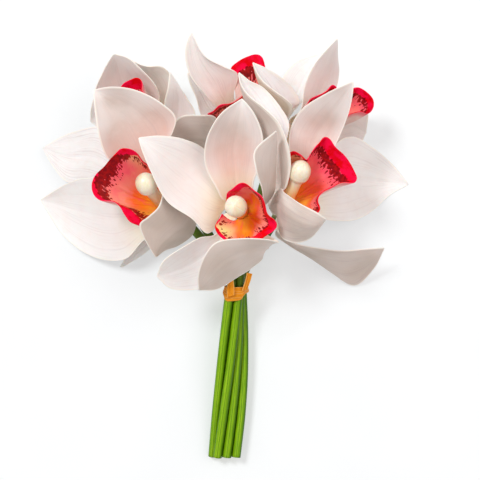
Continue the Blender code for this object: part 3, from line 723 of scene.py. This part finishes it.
# %% Lip paint: place round the rim, crimson width, freckles from, freckles to, crowding
LIP_PAINT = {
    "front": """-1 0.6 3 4.4 0.2, -0.84 0.2 1 3.4 0.5, -0.75 1.9 2.2 4.6 0.55, -0.68 2 2.2 4.6 0.5,
    -0.62 0.4 1.2 3.6 0.5, -0.45 0.8 1.4 3.2 0.6, -0.3 3.4 3.4 4.9 0.6, -0.15 4.5 4.2 5.6 0.7,
    0.04 6 5.4 7.1 0.7, 0.2 5.1 4.5 6.2 0.7, 0.33 4 3 6.4 0.85, 0.42 1.7 1.2 5.8 0.85,
    0.52 0.6 0.8 4.2 0.7, 0.62 3.7 4.3 5.3 0.3, 0.75 4.7 4.7 5.7 0.1, 1 4 4.4 5.4 0""",
    "right": """-1 0.5 1 3.4 0.3, -0.85 0.6 0.8 3.8 0.7, -0.7 0.6 0.6 4.8 0.9, -0.6 0.7 0.8 4 0.8,
    -0.48 0.8 0.6 1.8 0.4, -0.35 0.9 0.8 2.6 0.5, -0.15 2.5 2.3 6.7 0.9, -0.06 6.2 5.9 11.6 1.05,
    0.1 7.2 6.9 12 1.1, 0.3 7.2 6.9 11.8 1.1, 0.42 6.6 6.4 11 1.05, 0.52 2.8 2.4 6.4 1, 0.6 0.4 0.2 3.6 1,
    0.72 0.3 0.1 2.6 0.9, 0.8 0.5 0.6 2.4 0.5, 0.9 4 4.4 5.8 0.2, 1 4 4.4 5.8 0.1""",
    "left": """-1 0.3 3 4.9 0.6, -0.84 0.3 2.2 5.6 0.9, -0.7 0.5 2.4 6.4 0.9, -0.6 4.3 4.3 7.5 0.85,
    -0.48 4.3 3.9 7.3 0.9, -0.4 1 0.6 6.4 1, -0.3 0.5 -1.6 8.5 1.1, -0.15 0.5 -1.2 8.5 1.1,
    0.03 2.4 1.6 8 1.1, 0.15 4 3.6 9.5 1.1, 0.3 5 5.2 9.5 1.1, 0.5 6.6 6.8 11.4 1.1, 0.62 7.4 7.6 12 1.05,
    0.7 7.8 8 11.6 1, 0.8 5.4 6 9.6 0.9, 0.9 1.2 2 5.4 0.8, 1 0.6 1 2.4 0.3""",
    "back_left": """-1 7.8 7.8 11.2 0.3, 1 7.8 7.8 11.2 0.3""",
    "back": """-1 4.7 4.7 9.1 0.8, -0.6 5.6 5.4 11.9 1.1, 0.1 5.6 5.4 11.9 1.1, 0.4 4.7 4.7 10.1 0.9,
    1 3.1 4.1 9.5 0.9""",
    "back_right": """-1 3.1 3.1 6.5 0.8, -0.4 4 3.8 7 1, 0.3 4.3 4.1 7.3 1.05, 1 3.4 3.4 6.6 0.9""",
}
print("stops along each rim:", [len(groups(stops)) for stops in LIP_PAINT.values()])

# %% Patches: (along, across, half length, half width, strength)
LIP_PATCHES = {
    "pale": {"front": [(0.85, -0.76, 0.4, 0.13, 1.0)],
             "right": [(0.85, 0.86, 0.3, 0.12, 0.5)],
             "left": [(0.9, -0.62, 0.2, 0.12, 0.5), (0.7, 0.45, 0.3, 0.4, 0.25)]},
    "warm": {"front": [(0.75, -0.42, 0.55, 0.24, 1.0), (0.6, 0.5, 0.4, 0.2, 0.7)],
             "right": [(0.45, -0.55, 0.35, 0.4, 0.9)],
             "left": [(0.5, 0.75, 0.5, 0.3, 0.9), (0.85, -0.85, 0.3, 0.15, 0.8)]},
    "rose": {"right": [(0.85, 0.15, 0.45, 0.5, 0.85)], "left": [(0.9, -0.3, 0.3, 0.3, 0.7)]},
}
print("lips with patches:", {kind: len(patches) for kind, patches in LIP_PATCHES.items()})


# %% Lip material
def lip_finish():
    dye = Recipe("lip")
    along, along_mm, across_mm, edge_mm, inner = dye.numbers("along along_mm across_mm edge_mm inner")
    seed, pale, warm, rose, margin = dye.numbers("seed pale warm rose margin")
    crowd, started, beyond = dye.numbers("crowd started beyond")
    spot = dye.place(across_mm, along_mm, seed)
    cloud = dye.noise(spot, 0.16, 3.0, 0.6)
    ruffle = dye.noise(spot, 0.5, 3.0, 0.6)
    zone = dye.maths("SUBTRACT", along + (cloud - 0.5) * 0.35, warm * 0.45, clamp=True)
    ground = dye.ramp(zone, (0.0, "f7b23c"), (0.20, "fb8e1c"), (0.34, "fd7436"), (0.50, "ff9a86"),
                      (0.76, "ff8280"), (1.0, "ff5072"))
    ground = dye.mix(cloud.span(0.45, 0.7, 0.0, 0.45), ground, "ff5f7c")
    ground = dye.mix(rose, ground, "ff4a70")
    ground = dye.mix(pale * 0.95, ground, "fdf0a0")
    crimson = dye.mix(cloud.span(0.40, 0.62), "ff0a4a", "e60010")
    past_margin = edge_mm + (ruffle - 0.5) * 2.4 - margin
    painted = dye.mix(past_margin.span(-0.3, 0.5, 1.0, 0.0), ground, crimson)
    streaks = dye.noise(dye.place(across_mm, along_mm * 0.4, seed), 0.75, distortion=0.6)
    blot = streaks - 0.5 + (crowd - 1.0) * 2.6 * 0.06
    freckle = dye.maths("MINIMUM", started + blot * 5.0, blot * 17.0 - beyond).span(-0.1, 0.25)
    cells = dye.cells(dye.place(across_mm, along_mm * 0.6, seed), 0.55)
    scatter = beyond.span(-0.5, 8.0, 1.0, 0.0) * crowd * beyond.span(-0.6, -0.3)
    freckle = dye.maths("MAXIMUM", freckle, (scatter * 0.34 - cells).span(-0.05, 0.03))
    maroon = dye.mix(ruffle.span(0.40, 0.62), "7a0009", "a80c08")
    painted = dye.mix(freckle * 0.95, painted, maroon)
    behind = dye.mix(edge_mm.span(0.6, 5.0, 1.0, 0.0), "f0d3cc", "ee7f8a")
    behind = dye.mix(cloud.span(0.4, 0.7) * 0.5, behind, "e9b9ac")
    grain = dye.noise(dye.place(across_mm, along_mm * 0.5, seed), 1.8, 4.0)
    dye.bump(freckle * 0.4 + grain * 0.6, 0.00014, 0.6)
    return dye.finish(dye.mix(inner, behind, painted), grain.span(0.3, 0.7, 0.36, 0.52),
                      Subsurface_Weight=0.12, Subsurface_Scale=0.0012, Subsurface_Radius=(1.0, 0.35, 0.25),
                      Specular_IOR_Level=0.1)


LIP = lip_finish()
for number, (name, bloom) in enumerate(BLOOMS.items()):
    lip_piece(name, bloom, number * 1.3 + 0.6)
print("lips made:", len(LIP_PAINT))

# %% [markdown]
# ## Round things: a tube with any outline
#
# Stems and columns are tubes. `tube_piece` carries a small cross from the start of the curve to its
# end without twisting it, puts a ring of points round each place and closes both ends with rings
# that shrink to the middle.

# %% Tubes
END_RINGS = (0.88, 0.6, 0.3)


def full_turn(sides):
    return np.arange(sides) * 2 * pi / sides


def carried_cross(points, start):
    """Two directions across a curve, carried along it without twist."""
    tangents = unit(np.gradient(points, axis=0))
    normals = np.empty_like(points)
    normal = np.array(start, float)
    for k, tangent in enumerate(tangents):
        normal = unit(normal - normal.dot(tangent) * tangent)
        normals[k] = normal
    return normals, np.cross(tangents, normals)


def tube_piece(node, points, radii, start, extra, finish, slot):
    """A closed tube; radii is a grid with a row for each place and a column for each side."""
    sides = radii.shape[1]
    turn = full_turn(sides)
    normals, sideways = (cross[:, None, :] for cross in carried_cross(points, start))
    ring = np.cos(turn)[:, None] * normals + np.sin(turn)[:, None] * sideways
    body = points[:, None, :] + ring * radii[..., None]
    bottom, top = ([points[k] + (body[k] - points[k]) * share for share in END_RINGS] for k in (0, -1))
    rows = np.stack(bottom[::-1] + list(body) + top)
    count = len(rows)
    number = np.arange(count * sides).reshape(count, sides)
    ahead = np.roll(number, -1, axis=1)
    sheet = np.stack([number[:-1], ahead[:-1], ahead[1:], number[1:]], axis=-1).reshape(-1, 4)
    faces = sheet.tolist()
    for k in range(sides):
        faces.append([count * sides, int(ahead[0, k]), k])
        faces.append([count * sides + 1, int(number[-1, k]), int(ahead[-1, k])])
    along = np.pad(travelled(points), len(END_RINGS), mode="edge")
    cut = np.concatenate([[1, 1, 0.9], np.zeros(len(points)), [0.9, 1, 1]])
    places = np.vstack([rows.reshape(-1, 3), points[:1], points[-1:]])
    places[:, 2] = np.maximum(places[:, 2], 0.0)
    numbers = {"along_mm": np.append(np.repeat(along, sides), along[[0, -1]]),
               "around": np.append(np.tile(turn, count), [0, 0]),
               "cut": np.append(np.repeat(cut, sides), [1, 1]), **extra}
    add_piece(node, places, faces, numbers, finish, slot)


print("sides of a square tube at", np.degrees(full_turn(4)), "degrees")

# %% [markdown]
# ## The column and its cap
#
# Inside the lip stands the column, the fused heart of the flower: a waxy neck, hollowed on the side
# towards the lip, with a round cap over the pollen at its end. The caps of the three nearest flowers
# lean out of their flower's axis, so their necks are bent by a few millimetres.

# %% Column shape
COLUMN_LENGTH = 21.0
COLUMN_RADIUS = 2.9
COLUMN_FOOT = 0.9
CAP_RADIUS = 5.3
CAP_END = 0.985
COLUMN_LEANS = {"front": (-1.5, -0.3), "left": (1.0, 3.2), "right": (-0.5, 1.6)}
NECK_SHARES = (0, 0.12, 0.35, 0.62, 0.8)
NECK_WIDTHS = (1.36, 1.24, 1.08, 1.06, 1.14)
JOIN_POWER = 3.2
HOLLOW_DEPTH = 0.2
HOLLOW_END = 0.82
SEAM_DEPTH = 0.03
SEAM_BELOW = 1.6
CREASE_DEPTH = 0.012
COLUMN_RINGS = 80
COLUMN_SIDES = 48


def column_profile(height):
    """The column's radius at a height in mm above its foot: a neck that runs softly into a ball."""
    neck = COLUMN_RADIUS * np.interp(height / COLUMN_LENGTH, NECK_SHARES, NECK_WIDTHS)
    neck = neck * np.clip((COLUMN_LENGTH + 1 - height) / 3.0, 0, 1)
    ball = np.sqrt(np.maximum(CAP_RADIUS ** 2 - (height - COLUMN_LENGTH) ** 2, 0.0))
    return (neck ** JOIN_POWER + ball ** JOIN_POWER) ** (1 / JOIN_POWER)


def column_piece(name, bloom, seed):
    """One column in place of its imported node."""
    axis, down = flower_frame(bloom)[:2]
    foot = bloom.centre + (LIP_LEVEL + COLUMN_FOOT) * axis
    top = COLUMN_LENGTH + CAP_RADIUS * CAP_END
    height = top * np.sin(np.linspace(0, 1, COLUMN_RINGS) * pi / 2)[:, None] ** 0.9
    rise = height / COLUMN_LENGTH
    lean = np.array([*COLUMN_LEANS.get(name, (0, 0)), 0.0])
    points = foot + height * axis + np.where(rise < 1, rise ** 2, 2 * rise - 1) * lean
    turn = full_turn(COLUMN_SIDES)[None, :]
    neck = np.clip((COLUMN_LENGTH * HOLLOW_END - height) / 4.0, 0, 1)
    hollow = HOLLOW_DEPTH * neck * np.clip(height / 6.0, 0, 1) * bell(1 - np.cos(turn), 0.16)
    seam = SEAM_DEPTH * bell(height - COLUMN_LENGTH + SEAM_BELOW, 0.35)
    crease = CREASE_DEPTH * bell(np.sin(turn), 0.12) * (height > COLUMN_LENGTH - 1.2)
    radii = column_profile(height) * (1 - hollow - seam - crease)
    tube_piece("column_" + name, points, radii, down, {"seed": seed}, COLUMN, "column")


print("radius at the middle of the cap", round(float(column_profile(COLUMN_LENGTH)), 1), "mm")

# %% Column finish and pieces
def column_finish():
    dye = Recipe("column")
    along_mm, around, seed = dye.numbers("along_mm around seed")
    facing, sideways = dye.maths("COSINE", around), dye.maths("SINE", around)
    cloud = dye.noise(dye.place(facing, sideways, along_mm * 0.2), 1.6, 3.0)
    lipwards = facing.span(0.1, 0.9)
    neck = dye.ramp(dye.maths("DIVIDE", along_mm, 17.0), (0.0, "f59a2c"), (0.35, "f8c878"), (0.7, "fae3b4"),
                    (1.0, "f9efd4"))
    neck = dye.mix(lipwards * 0.45, neck, "f0a848")
    cap = dye.mix(cloud.span(0.4, 0.66), "f8f1dc", "f0e4c8")
    # Painted shade: the cap is painted peach on its side towards the lip.
    cap = dye.mix(lipwards * 0.5, cap, "eac695")
    colour = dye.mix(along_mm.span(13.5, 17.5), neck, cap)
    streak = dye.noise(dye.place(sideways * 4.0, along_mm, seed), 0.5)
    dots = dye.cells(dye.place(around * 2.2, along_mm, seed), 0.8).span(0.16, 0.24, 1.0, 0.0)
    dots = dots * along_mm.span(3.0, 13.0, 0.8, 0.0) * lipwards
    colour = dye.mix(dots, colour, "b0342c")
    dye.bump(cloud + streak, 0.0001, 0.4)
    return dye.finish(colour, streak.span(0.3, 0.7, 0.3, 0.42), Subsurface_Weight=0.3,
                      Subsurface_Scale=0.0015, Specular_IOR_Level=0.5, Coat_Weight=0.15)


COLUMN = column_finish()
for number, (name, bloom) in enumerate(BLOOMS.items()):
    column_piece(name, bloom, number * 2.7)
print("columns made:", len(BLOOMS))

# %% [markdown]
# ## The stems
#
# A flower stem is not a smooth pipe: it has faint ribs, a streaked skin and a fresh cut at its end,
# and it swells into the ovary just behind the flower. The six stems lie in two rows of three at the
# cut end and turn as one bunch on the way to the tie. They are a trifle thicker than the packed
# ones, because soft stems press together and leave no slits of light between them.

# %% Stem places and shape
STEM_RADIUS = 2.2
STEM_PLUMP = 1.03
OVARY_RADIUS = 2.9
OVARY_LENGTH = 14.0
KNOB_LENGTH = 6.0
CUT_Y = -108.4
TIE_Y = -23.5
TIE_AT = TIE_Y - CUT_Y
CUT_MIDDLE = (-0.3, 4.2)
TIE_MIDDLE = (5.7, 15.4)
STEM_PITCH = 4.9
BUNCH_TURN = -78.0
BUNCH_BOW = 0.8
STEM_PLACES = {"left": (0, 0), "back_left": (1, 0), "back": (2, 0),
               "front": (0, 1), "right": (1, 1), "back_right": (2, 1)}
STEM_SHARES = (0, 0.25, 0.5, 0.75, 1, 1.08)
STEM_RIBS = 6
RIB_DEPTH = 0.02
UNEVENNESS = 0.02
STEM_RINGS = 110
STEM_SIDES = 32


def stem_place(name, share):
    """Where the stem is at a share of the way from the cut end to the tie."""
    row, layer = STEM_PLACES[name]
    x = STEM_PITCH * (row + layer / 2 - 1.25)
    z = STEM_PITCH * sqrt(3) / 2 * (layer - 0.5)
    turn = radians(BUNCH_TURN * share)
    across = CUT_MIDDLE[0] + (TIE_MIDDLE[0] - CUT_MIDDLE[0]) * share + BUNCH_BOW * sin(pi * share)
    across += cos(turn) * x - sin(turn) * z
    height = CUT_MIDDLE[1] + (TIE_MIDDLE[1] - CUT_MIDDLE[1]) * share + sin(turn) * x + cos(turn) * z
    return np.array([across, CUT_Y + TIE_AT * share, height])


def smooth(t):
    t = np.clip(t, 0, 1)
    return t * t * (3 - 2 * t)


def stem_piece(name, bloom, seed):
    """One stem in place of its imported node."""
    axis = flower_frame(bloom)[0]
    places = [stem_place(name, share) for share in STEM_SHARES]
    places += [bloom.centre - OVARY_LENGTH * axis, bloom.centre + LIP_LEVEL * axis]
    points, length = curve_through(places, STEM_RINGS)
    left = length * (1 - np.linspace(0, 1, STEM_RINGS))[:, None]
    swell = smooth(1 - left / (1.6 * OVARY_LENGTH))
    radius = STEM_RADIUS + (OVARY_RADIUS - STEM_RADIUS) * swell
    radius = radius + (KNOB_RADIUS - OVARY_RADIUS) * smooth(1 - left / KNOB_LENGTH)
    ribs = RIB_DEPTH * np.cos(STEM_RIBS * full_turn(STEM_SIDES)) * (0.4 + 0.9 * swell)
    uneven = UNEVENNESS * np.sin(np.linspace(0, 9, STEM_RINGS) + seed)[:, None]
    tube_piece("stem_" + name, points, radius * (STEM_PLUMP + ribs + uneven), (0, 0, 1),
               {"seed": seed * 5.0, "length": length}, STEM, "stem")


print("front stem at the tie", stem_place("front", 1.0).round(1), "mm")

# %% Stem finish and pieces
def stem_finish():
    dye = Recipe("stem")
    along_mm, around, seed, cut, length = dye.numbers("along_mm around seed cut length")
    upwards, sideways = dye.maths("COSINE", around), dye.maths("SINE", around)
    skin = dye.place(upwards * 3.0 + seed, sideways * 3.0, along_mm * 0.05)
    streak = dye.noise(skin, 2.4, 4.0, 0.6)
    green = dye.ramp(streak, (0.30, "548a00"), (0.50, "7aad00"), (0.72, "a2c812"))
    green = dye.mix(dye.noise(skin, 0.7).span(0.45, 0.7) * 0.5, green, "6a9a04")
    flank = dye.maths("ABSOLUTE", sideways + 0.15)
    # Painted shade: each stem is painted darker along its flanks.
    green = dye.mix(flank.span(0.45, 1.0, 0.0, 0.8), green, "2c5a00")
    # Painted highlight: a lighter green streak along the middle of the stem's upper side.
    green = dye.mix(flank.span(0.0, 0.45, 0.35, 0.0) * upwards.span(0.3, 0.9), green, "b4d83c")
    # Painted shade, with a little of the stems' own olive: past the tie, under the flowers, the stems are
    # painted darker.
    green = dye.mix(along_mm.span(TIE_AT + 4.0, TIE_AT + 9.0, 0.0, 0.8), green, "4a5f22")
    green = dye.mix((length - along_mm).span(4.0, 13.0, 1.0, 0.0), green, "f3e2c4")
    shade = along_mm.span(TIE_AT + 2.2, TIE_AT + 3.4) * along_mm.span(TIE_AT + 5.0, TIE_AT + 9.0, 0.85, 0.0)
    green = dye.mix(shade, green, "1c2006")
    fleck = dye.cells(dye.place(around * 2.2, along_mm * 0.5, seed), 0.9)
    green = dye.mix(fleck.span(0.06, 0.12, 0.5, 0.0), green, "3f5f12")
    pith = dye.ramp(dye.noise(dye.object_place(), 900.0, 3.0), (0.35, "a8b96a"), (0.65, "dfe0ae"))
    dye.bump(streak + fleck * 0.2, 0.00018, 0.6)
    return dye.finish(dye.mix(cut.span(0.1, 0.8), green, pith), streak.span(0.3, 0.7, 0.34, 0.5),
                      Subsurface_Weight=0.08, Subsurface_Scale=0.001, Specular_IOR_Level=0.22)


STEM = stem_finish()
for number, (name, bloom) in enumerate(BLOOMS.items()):
    stem_piece(name, bloom, number + 0.5)
print("stems made:", len(BLOOMS))

# %% [markdown]
# ## Raffia
#
# The bunch is held by flat raffia wound round it a few times. Each turn is a strip of its own that
# follows the outline of the bundled stems, a little askew and creased lengthwise. The turns spread
# on top and run together at the sides, which makes the tie look like a crescent from above. The
# folded loop and the loose end are the same material, drawn by their two edges.

# %% Raffia strips: (offset along the bunch, lift, half width, skew)
STRIPS = [(-1.95, 0.20, 1.55, 0.35), (0.15, 0.42, 1.65, -0.30),
          (2.05, 0.26, 1.40, 0.25), (-0.7, 0.62, 1.15, -0.65)]
TIE_GAP = 0.18
TIE_TOP = -0.4
TIE_SIDES = 2.2
SIDE_SHARE = 0.45
STRIP_HUG = 2.5
STRIP_CREASE = 0.08
STRIP_RIPPLE = 0.048
RAFFIA_HALF = 0.16
RIBBON_HALF = 0.28
STRIP_OVERLAP = 0.5
STRIP_TUCK = 0.25
TIE_STEPS = 220
STRIP_COLUMNS = 12
RIBBON_STEPS = 60
RIBBON_CREASE = 0.22
RIBBON_RIPPLE = 0.1
RIBBONS = {
    "raffia_loop": ("227.5 297 25.1, 227 288 25.6, 230 279 27", "234 295 25.2, 234 287 26.2, 233 279 27.6"),
    "raffia_end": ("242 290 23.9, 245 281 24.3, 247 273 25.4", "246.5 290 21.5, 250 281 22.3, 252 274 23.7"),
}


def strip_sheet(middle, half, seed):
    """Places, faces and numbers of a raffia strip: rows run along it, columns across it."""
    across_mm = travelled(middle, axis=1)
    return closed_sheet(middle, np.full(middle.shape[:2], half), 1.0, along_mm=travelled(middle), seed=seed,
                        across_mm=across_mm, edge_mm=np.minimum(across_mm, across_mm[:, -1:] - across_mm))


def wound_strip(offset, lift, half_width, skew, number):
    """The middle of one turn of raffia round the stems, as a grid of points."""
    turn = np.linspace(0, 2 * pi + STRIP_OVERLAP, TIE_STEPS + 1)
    across = np.linspace(1, -1, STRIP_COLUMNS + 1)
    grid = np.empty((len(turn), len(across), 3))
    for i, angle in enumerate(turn):
        start = angle + number * 1.9 + 2.2
        ray = np.array([cos(start), 0.0, sin(start)])
        top = max(0.0, sin(start))
        tuck = STRIP_TUCK * min(angle / STRIP_OVERLAP, 1)
        for j, s in enumerate(across):
            y = TIE_Y + TIE_SIDES * (1 - top) + TIE_TOP * top + skew * sin(angle / 2)
            y += (offset + s * half_width) * (SIDE_SHARE + (1 - SIDE_SHARE) * top)
            stems = np.array([stem_place(name, (y - CUT_Y) / TIE_AT) for name in STEM_PLACES])
            outward = stems @ ray
            weights = np.exp((outward - outward.max()) * STRIP_HUG)
            crease = STRIP_CREASE * cos(3 * pi * s + number) + STRIP_RIPPLE * sin(5 * angle + 4 * s + number)
            away = STEM_RADIUS + TIE_GAP + lift + crease + tuck
            grid[i, j] = weights @ stems / weights.sum() + away * ray
            grid[i, j, 1] = y
    return grid


def ribbon_middle(edges):
    """The middle of a drawn ribbon as a grid of points, with creases along it."""
    left, right = (curve_through(drawn(edge), RIBBON_STEPS + 1)[0][:, None, :] for edge in edges)
    s = np.linspace(0, 1, 2 * STRIP_COLUMNS + 1)
    grid = left * (1 - s[:, None]) + right * s[:, None]
    crease = RIBBON_CREASE * np.cos(s * 4 * pi) + RIBBON_RIPPLE * np.sin(s * 11)
    fade = np.sin(np.linspace(0.25, 1, RIBBON_STEPS + 1) * pi)[:, None] ** 0.5
    return grid + grid_normals(grid) * (crease * fade)[..., None]


print("widest strip of the tie", 2 * max(strip[2] for strip in STRIPS), "mm")

# %% Raffia finish, the tie and its two ends
def raffia_finish():
    dye = Recipe("raffia")
    along_mm, across_mm, edge_mm, seed = dye.numbers("along_mm across_mm edge_mm seed")
    fibre = dye.noise(dye.place(across_mm * 3.2, along_mm * 0.12, seed), 2.0, 5.0, 0.65, 0.2)
    cloud = dye.noise(dye.place(across_mm, along_mm * 0.3, seed), 0.5)
    colour = dye.ramp(fibre, (0.28, "a85a04"), (0.42, "e88c0c"), (0.6, "f8a420"), (0.8, "fccb6c"))
    colour = dye.mix(cloud.span(0.5, 0.75) * 0.45, colour, "c8600a")
    colour = dye.mix(edge_mm.span(0.05, 0.25, 0.4, 0.0), colour, "f6cf86")
    dye.bump(fibre, 0.00025, 0.9)
    return dye.finish(colour, fibre.span(0.3, 0.7, 0.5, 0.72), Specular_IOR_Level=0.2, Sheen_Weight=0.05)


RAFFIA = raffia_finish()
tie_places, tie_faces, tie_numbers = [], [], {}
for number, strip in enumerate(STRIPS):
    places, faces, numbers = strip_sheet(wound_strip(*strip, number), RAFFIA_HALF, number * 4.0)
    tie_faces += (np.array(faces) + len(tie_places)).tolist()
    tie_places += places.tolist()
    for key, values in numbers.items():
        tie_numbers.setdefault(key, []).extend(values)
add_piece("raffia_tie", tie_places, tie_faces, tie_numbers, RAFFIA, "raffia")
for number, (name, edges) in enumerate(RIBBONS.items()):
    add_piece(name, *strip_sheet(ribbon_middle(edges), RIBBON_HALF, 20.0 + number * 3), RAFFIA, "raffia")
print("raffia strips:", len(STRIPS), "and", len(RIBBONS), "ends")

# %% [markdown]
# ## Table and light
#
# The photo is bright and soft: a white table, a large light from the upper left, a weaker and wider
# one from the right, and a warm white all round, so shadows are pale and fall to the lower right. A
# white table would come out white in its shadows too. This one is painted a light grey and glows a
# little, so that it is just white where nothing shades it.

# %% Table, light and picture settings
AIM = Vector((0, 0, 0.03))
TABLE_SIZE = 6.0
TABLE_DROP = 0.0002
TABLE_GLOW = 0.43
SURROUNDINGS = 0.5


def area_light(name, place, size, watts, colour):
    data = bpy.data.lights.new(name, "AREA")
    data.shape = "DISK"
    data.size = size
    data.energy = watts
    data.color = colour
    light = add_object(name, data)
    light.location = place
    light.rotation_euler = (AIM - light.location).to_track_quat("-Z", "Y").to_euler()


def table_finish():
    dye = Recipe("table")
    cloud = dye.noise(dye.object_place(), 12.0, 3.0)
    return dye.finish(dye.mix(cloud.span(0.3, 0.7), "bdbfc0", "c1c3c4"), 0.6, Specular_IOR_Level=0.2,
                      Emission_Color=(0.96, 1.0, 1.03, 1.0), Emission_Strength=TABLE_GLOW)


bpy.ops.mesh.primitive_plane_add(size=TABLE_SIZE, location=(0, 0, -TABLE_DROP))
table = bpy.context.object
table.name = "table"
table.data.materials.append(table_finish())

world = bpy.data.worlds.new("surroundings")
world.use_nodes = True
background = world.node_tree.nodes["Background"].inputs
background["Color"].default_value = (1.0, 0.90, 0.85, 1)
background["Strength"].default_value = SURROUNDINGS
bpy.context.scene.world = world
area_light("key", (-0.85, 0.8, 1.85), 0.6, 25.5, (0.96, 0.99, 1.0))
area_light("fill", (0.9, 0.3, 1.5), 1.4, 9.0, (1.0, 0.98, 0.97))
bpy.context.scene.view_settings.view_transform = "Standard"
print("lights:", len(bpy.data.lights))
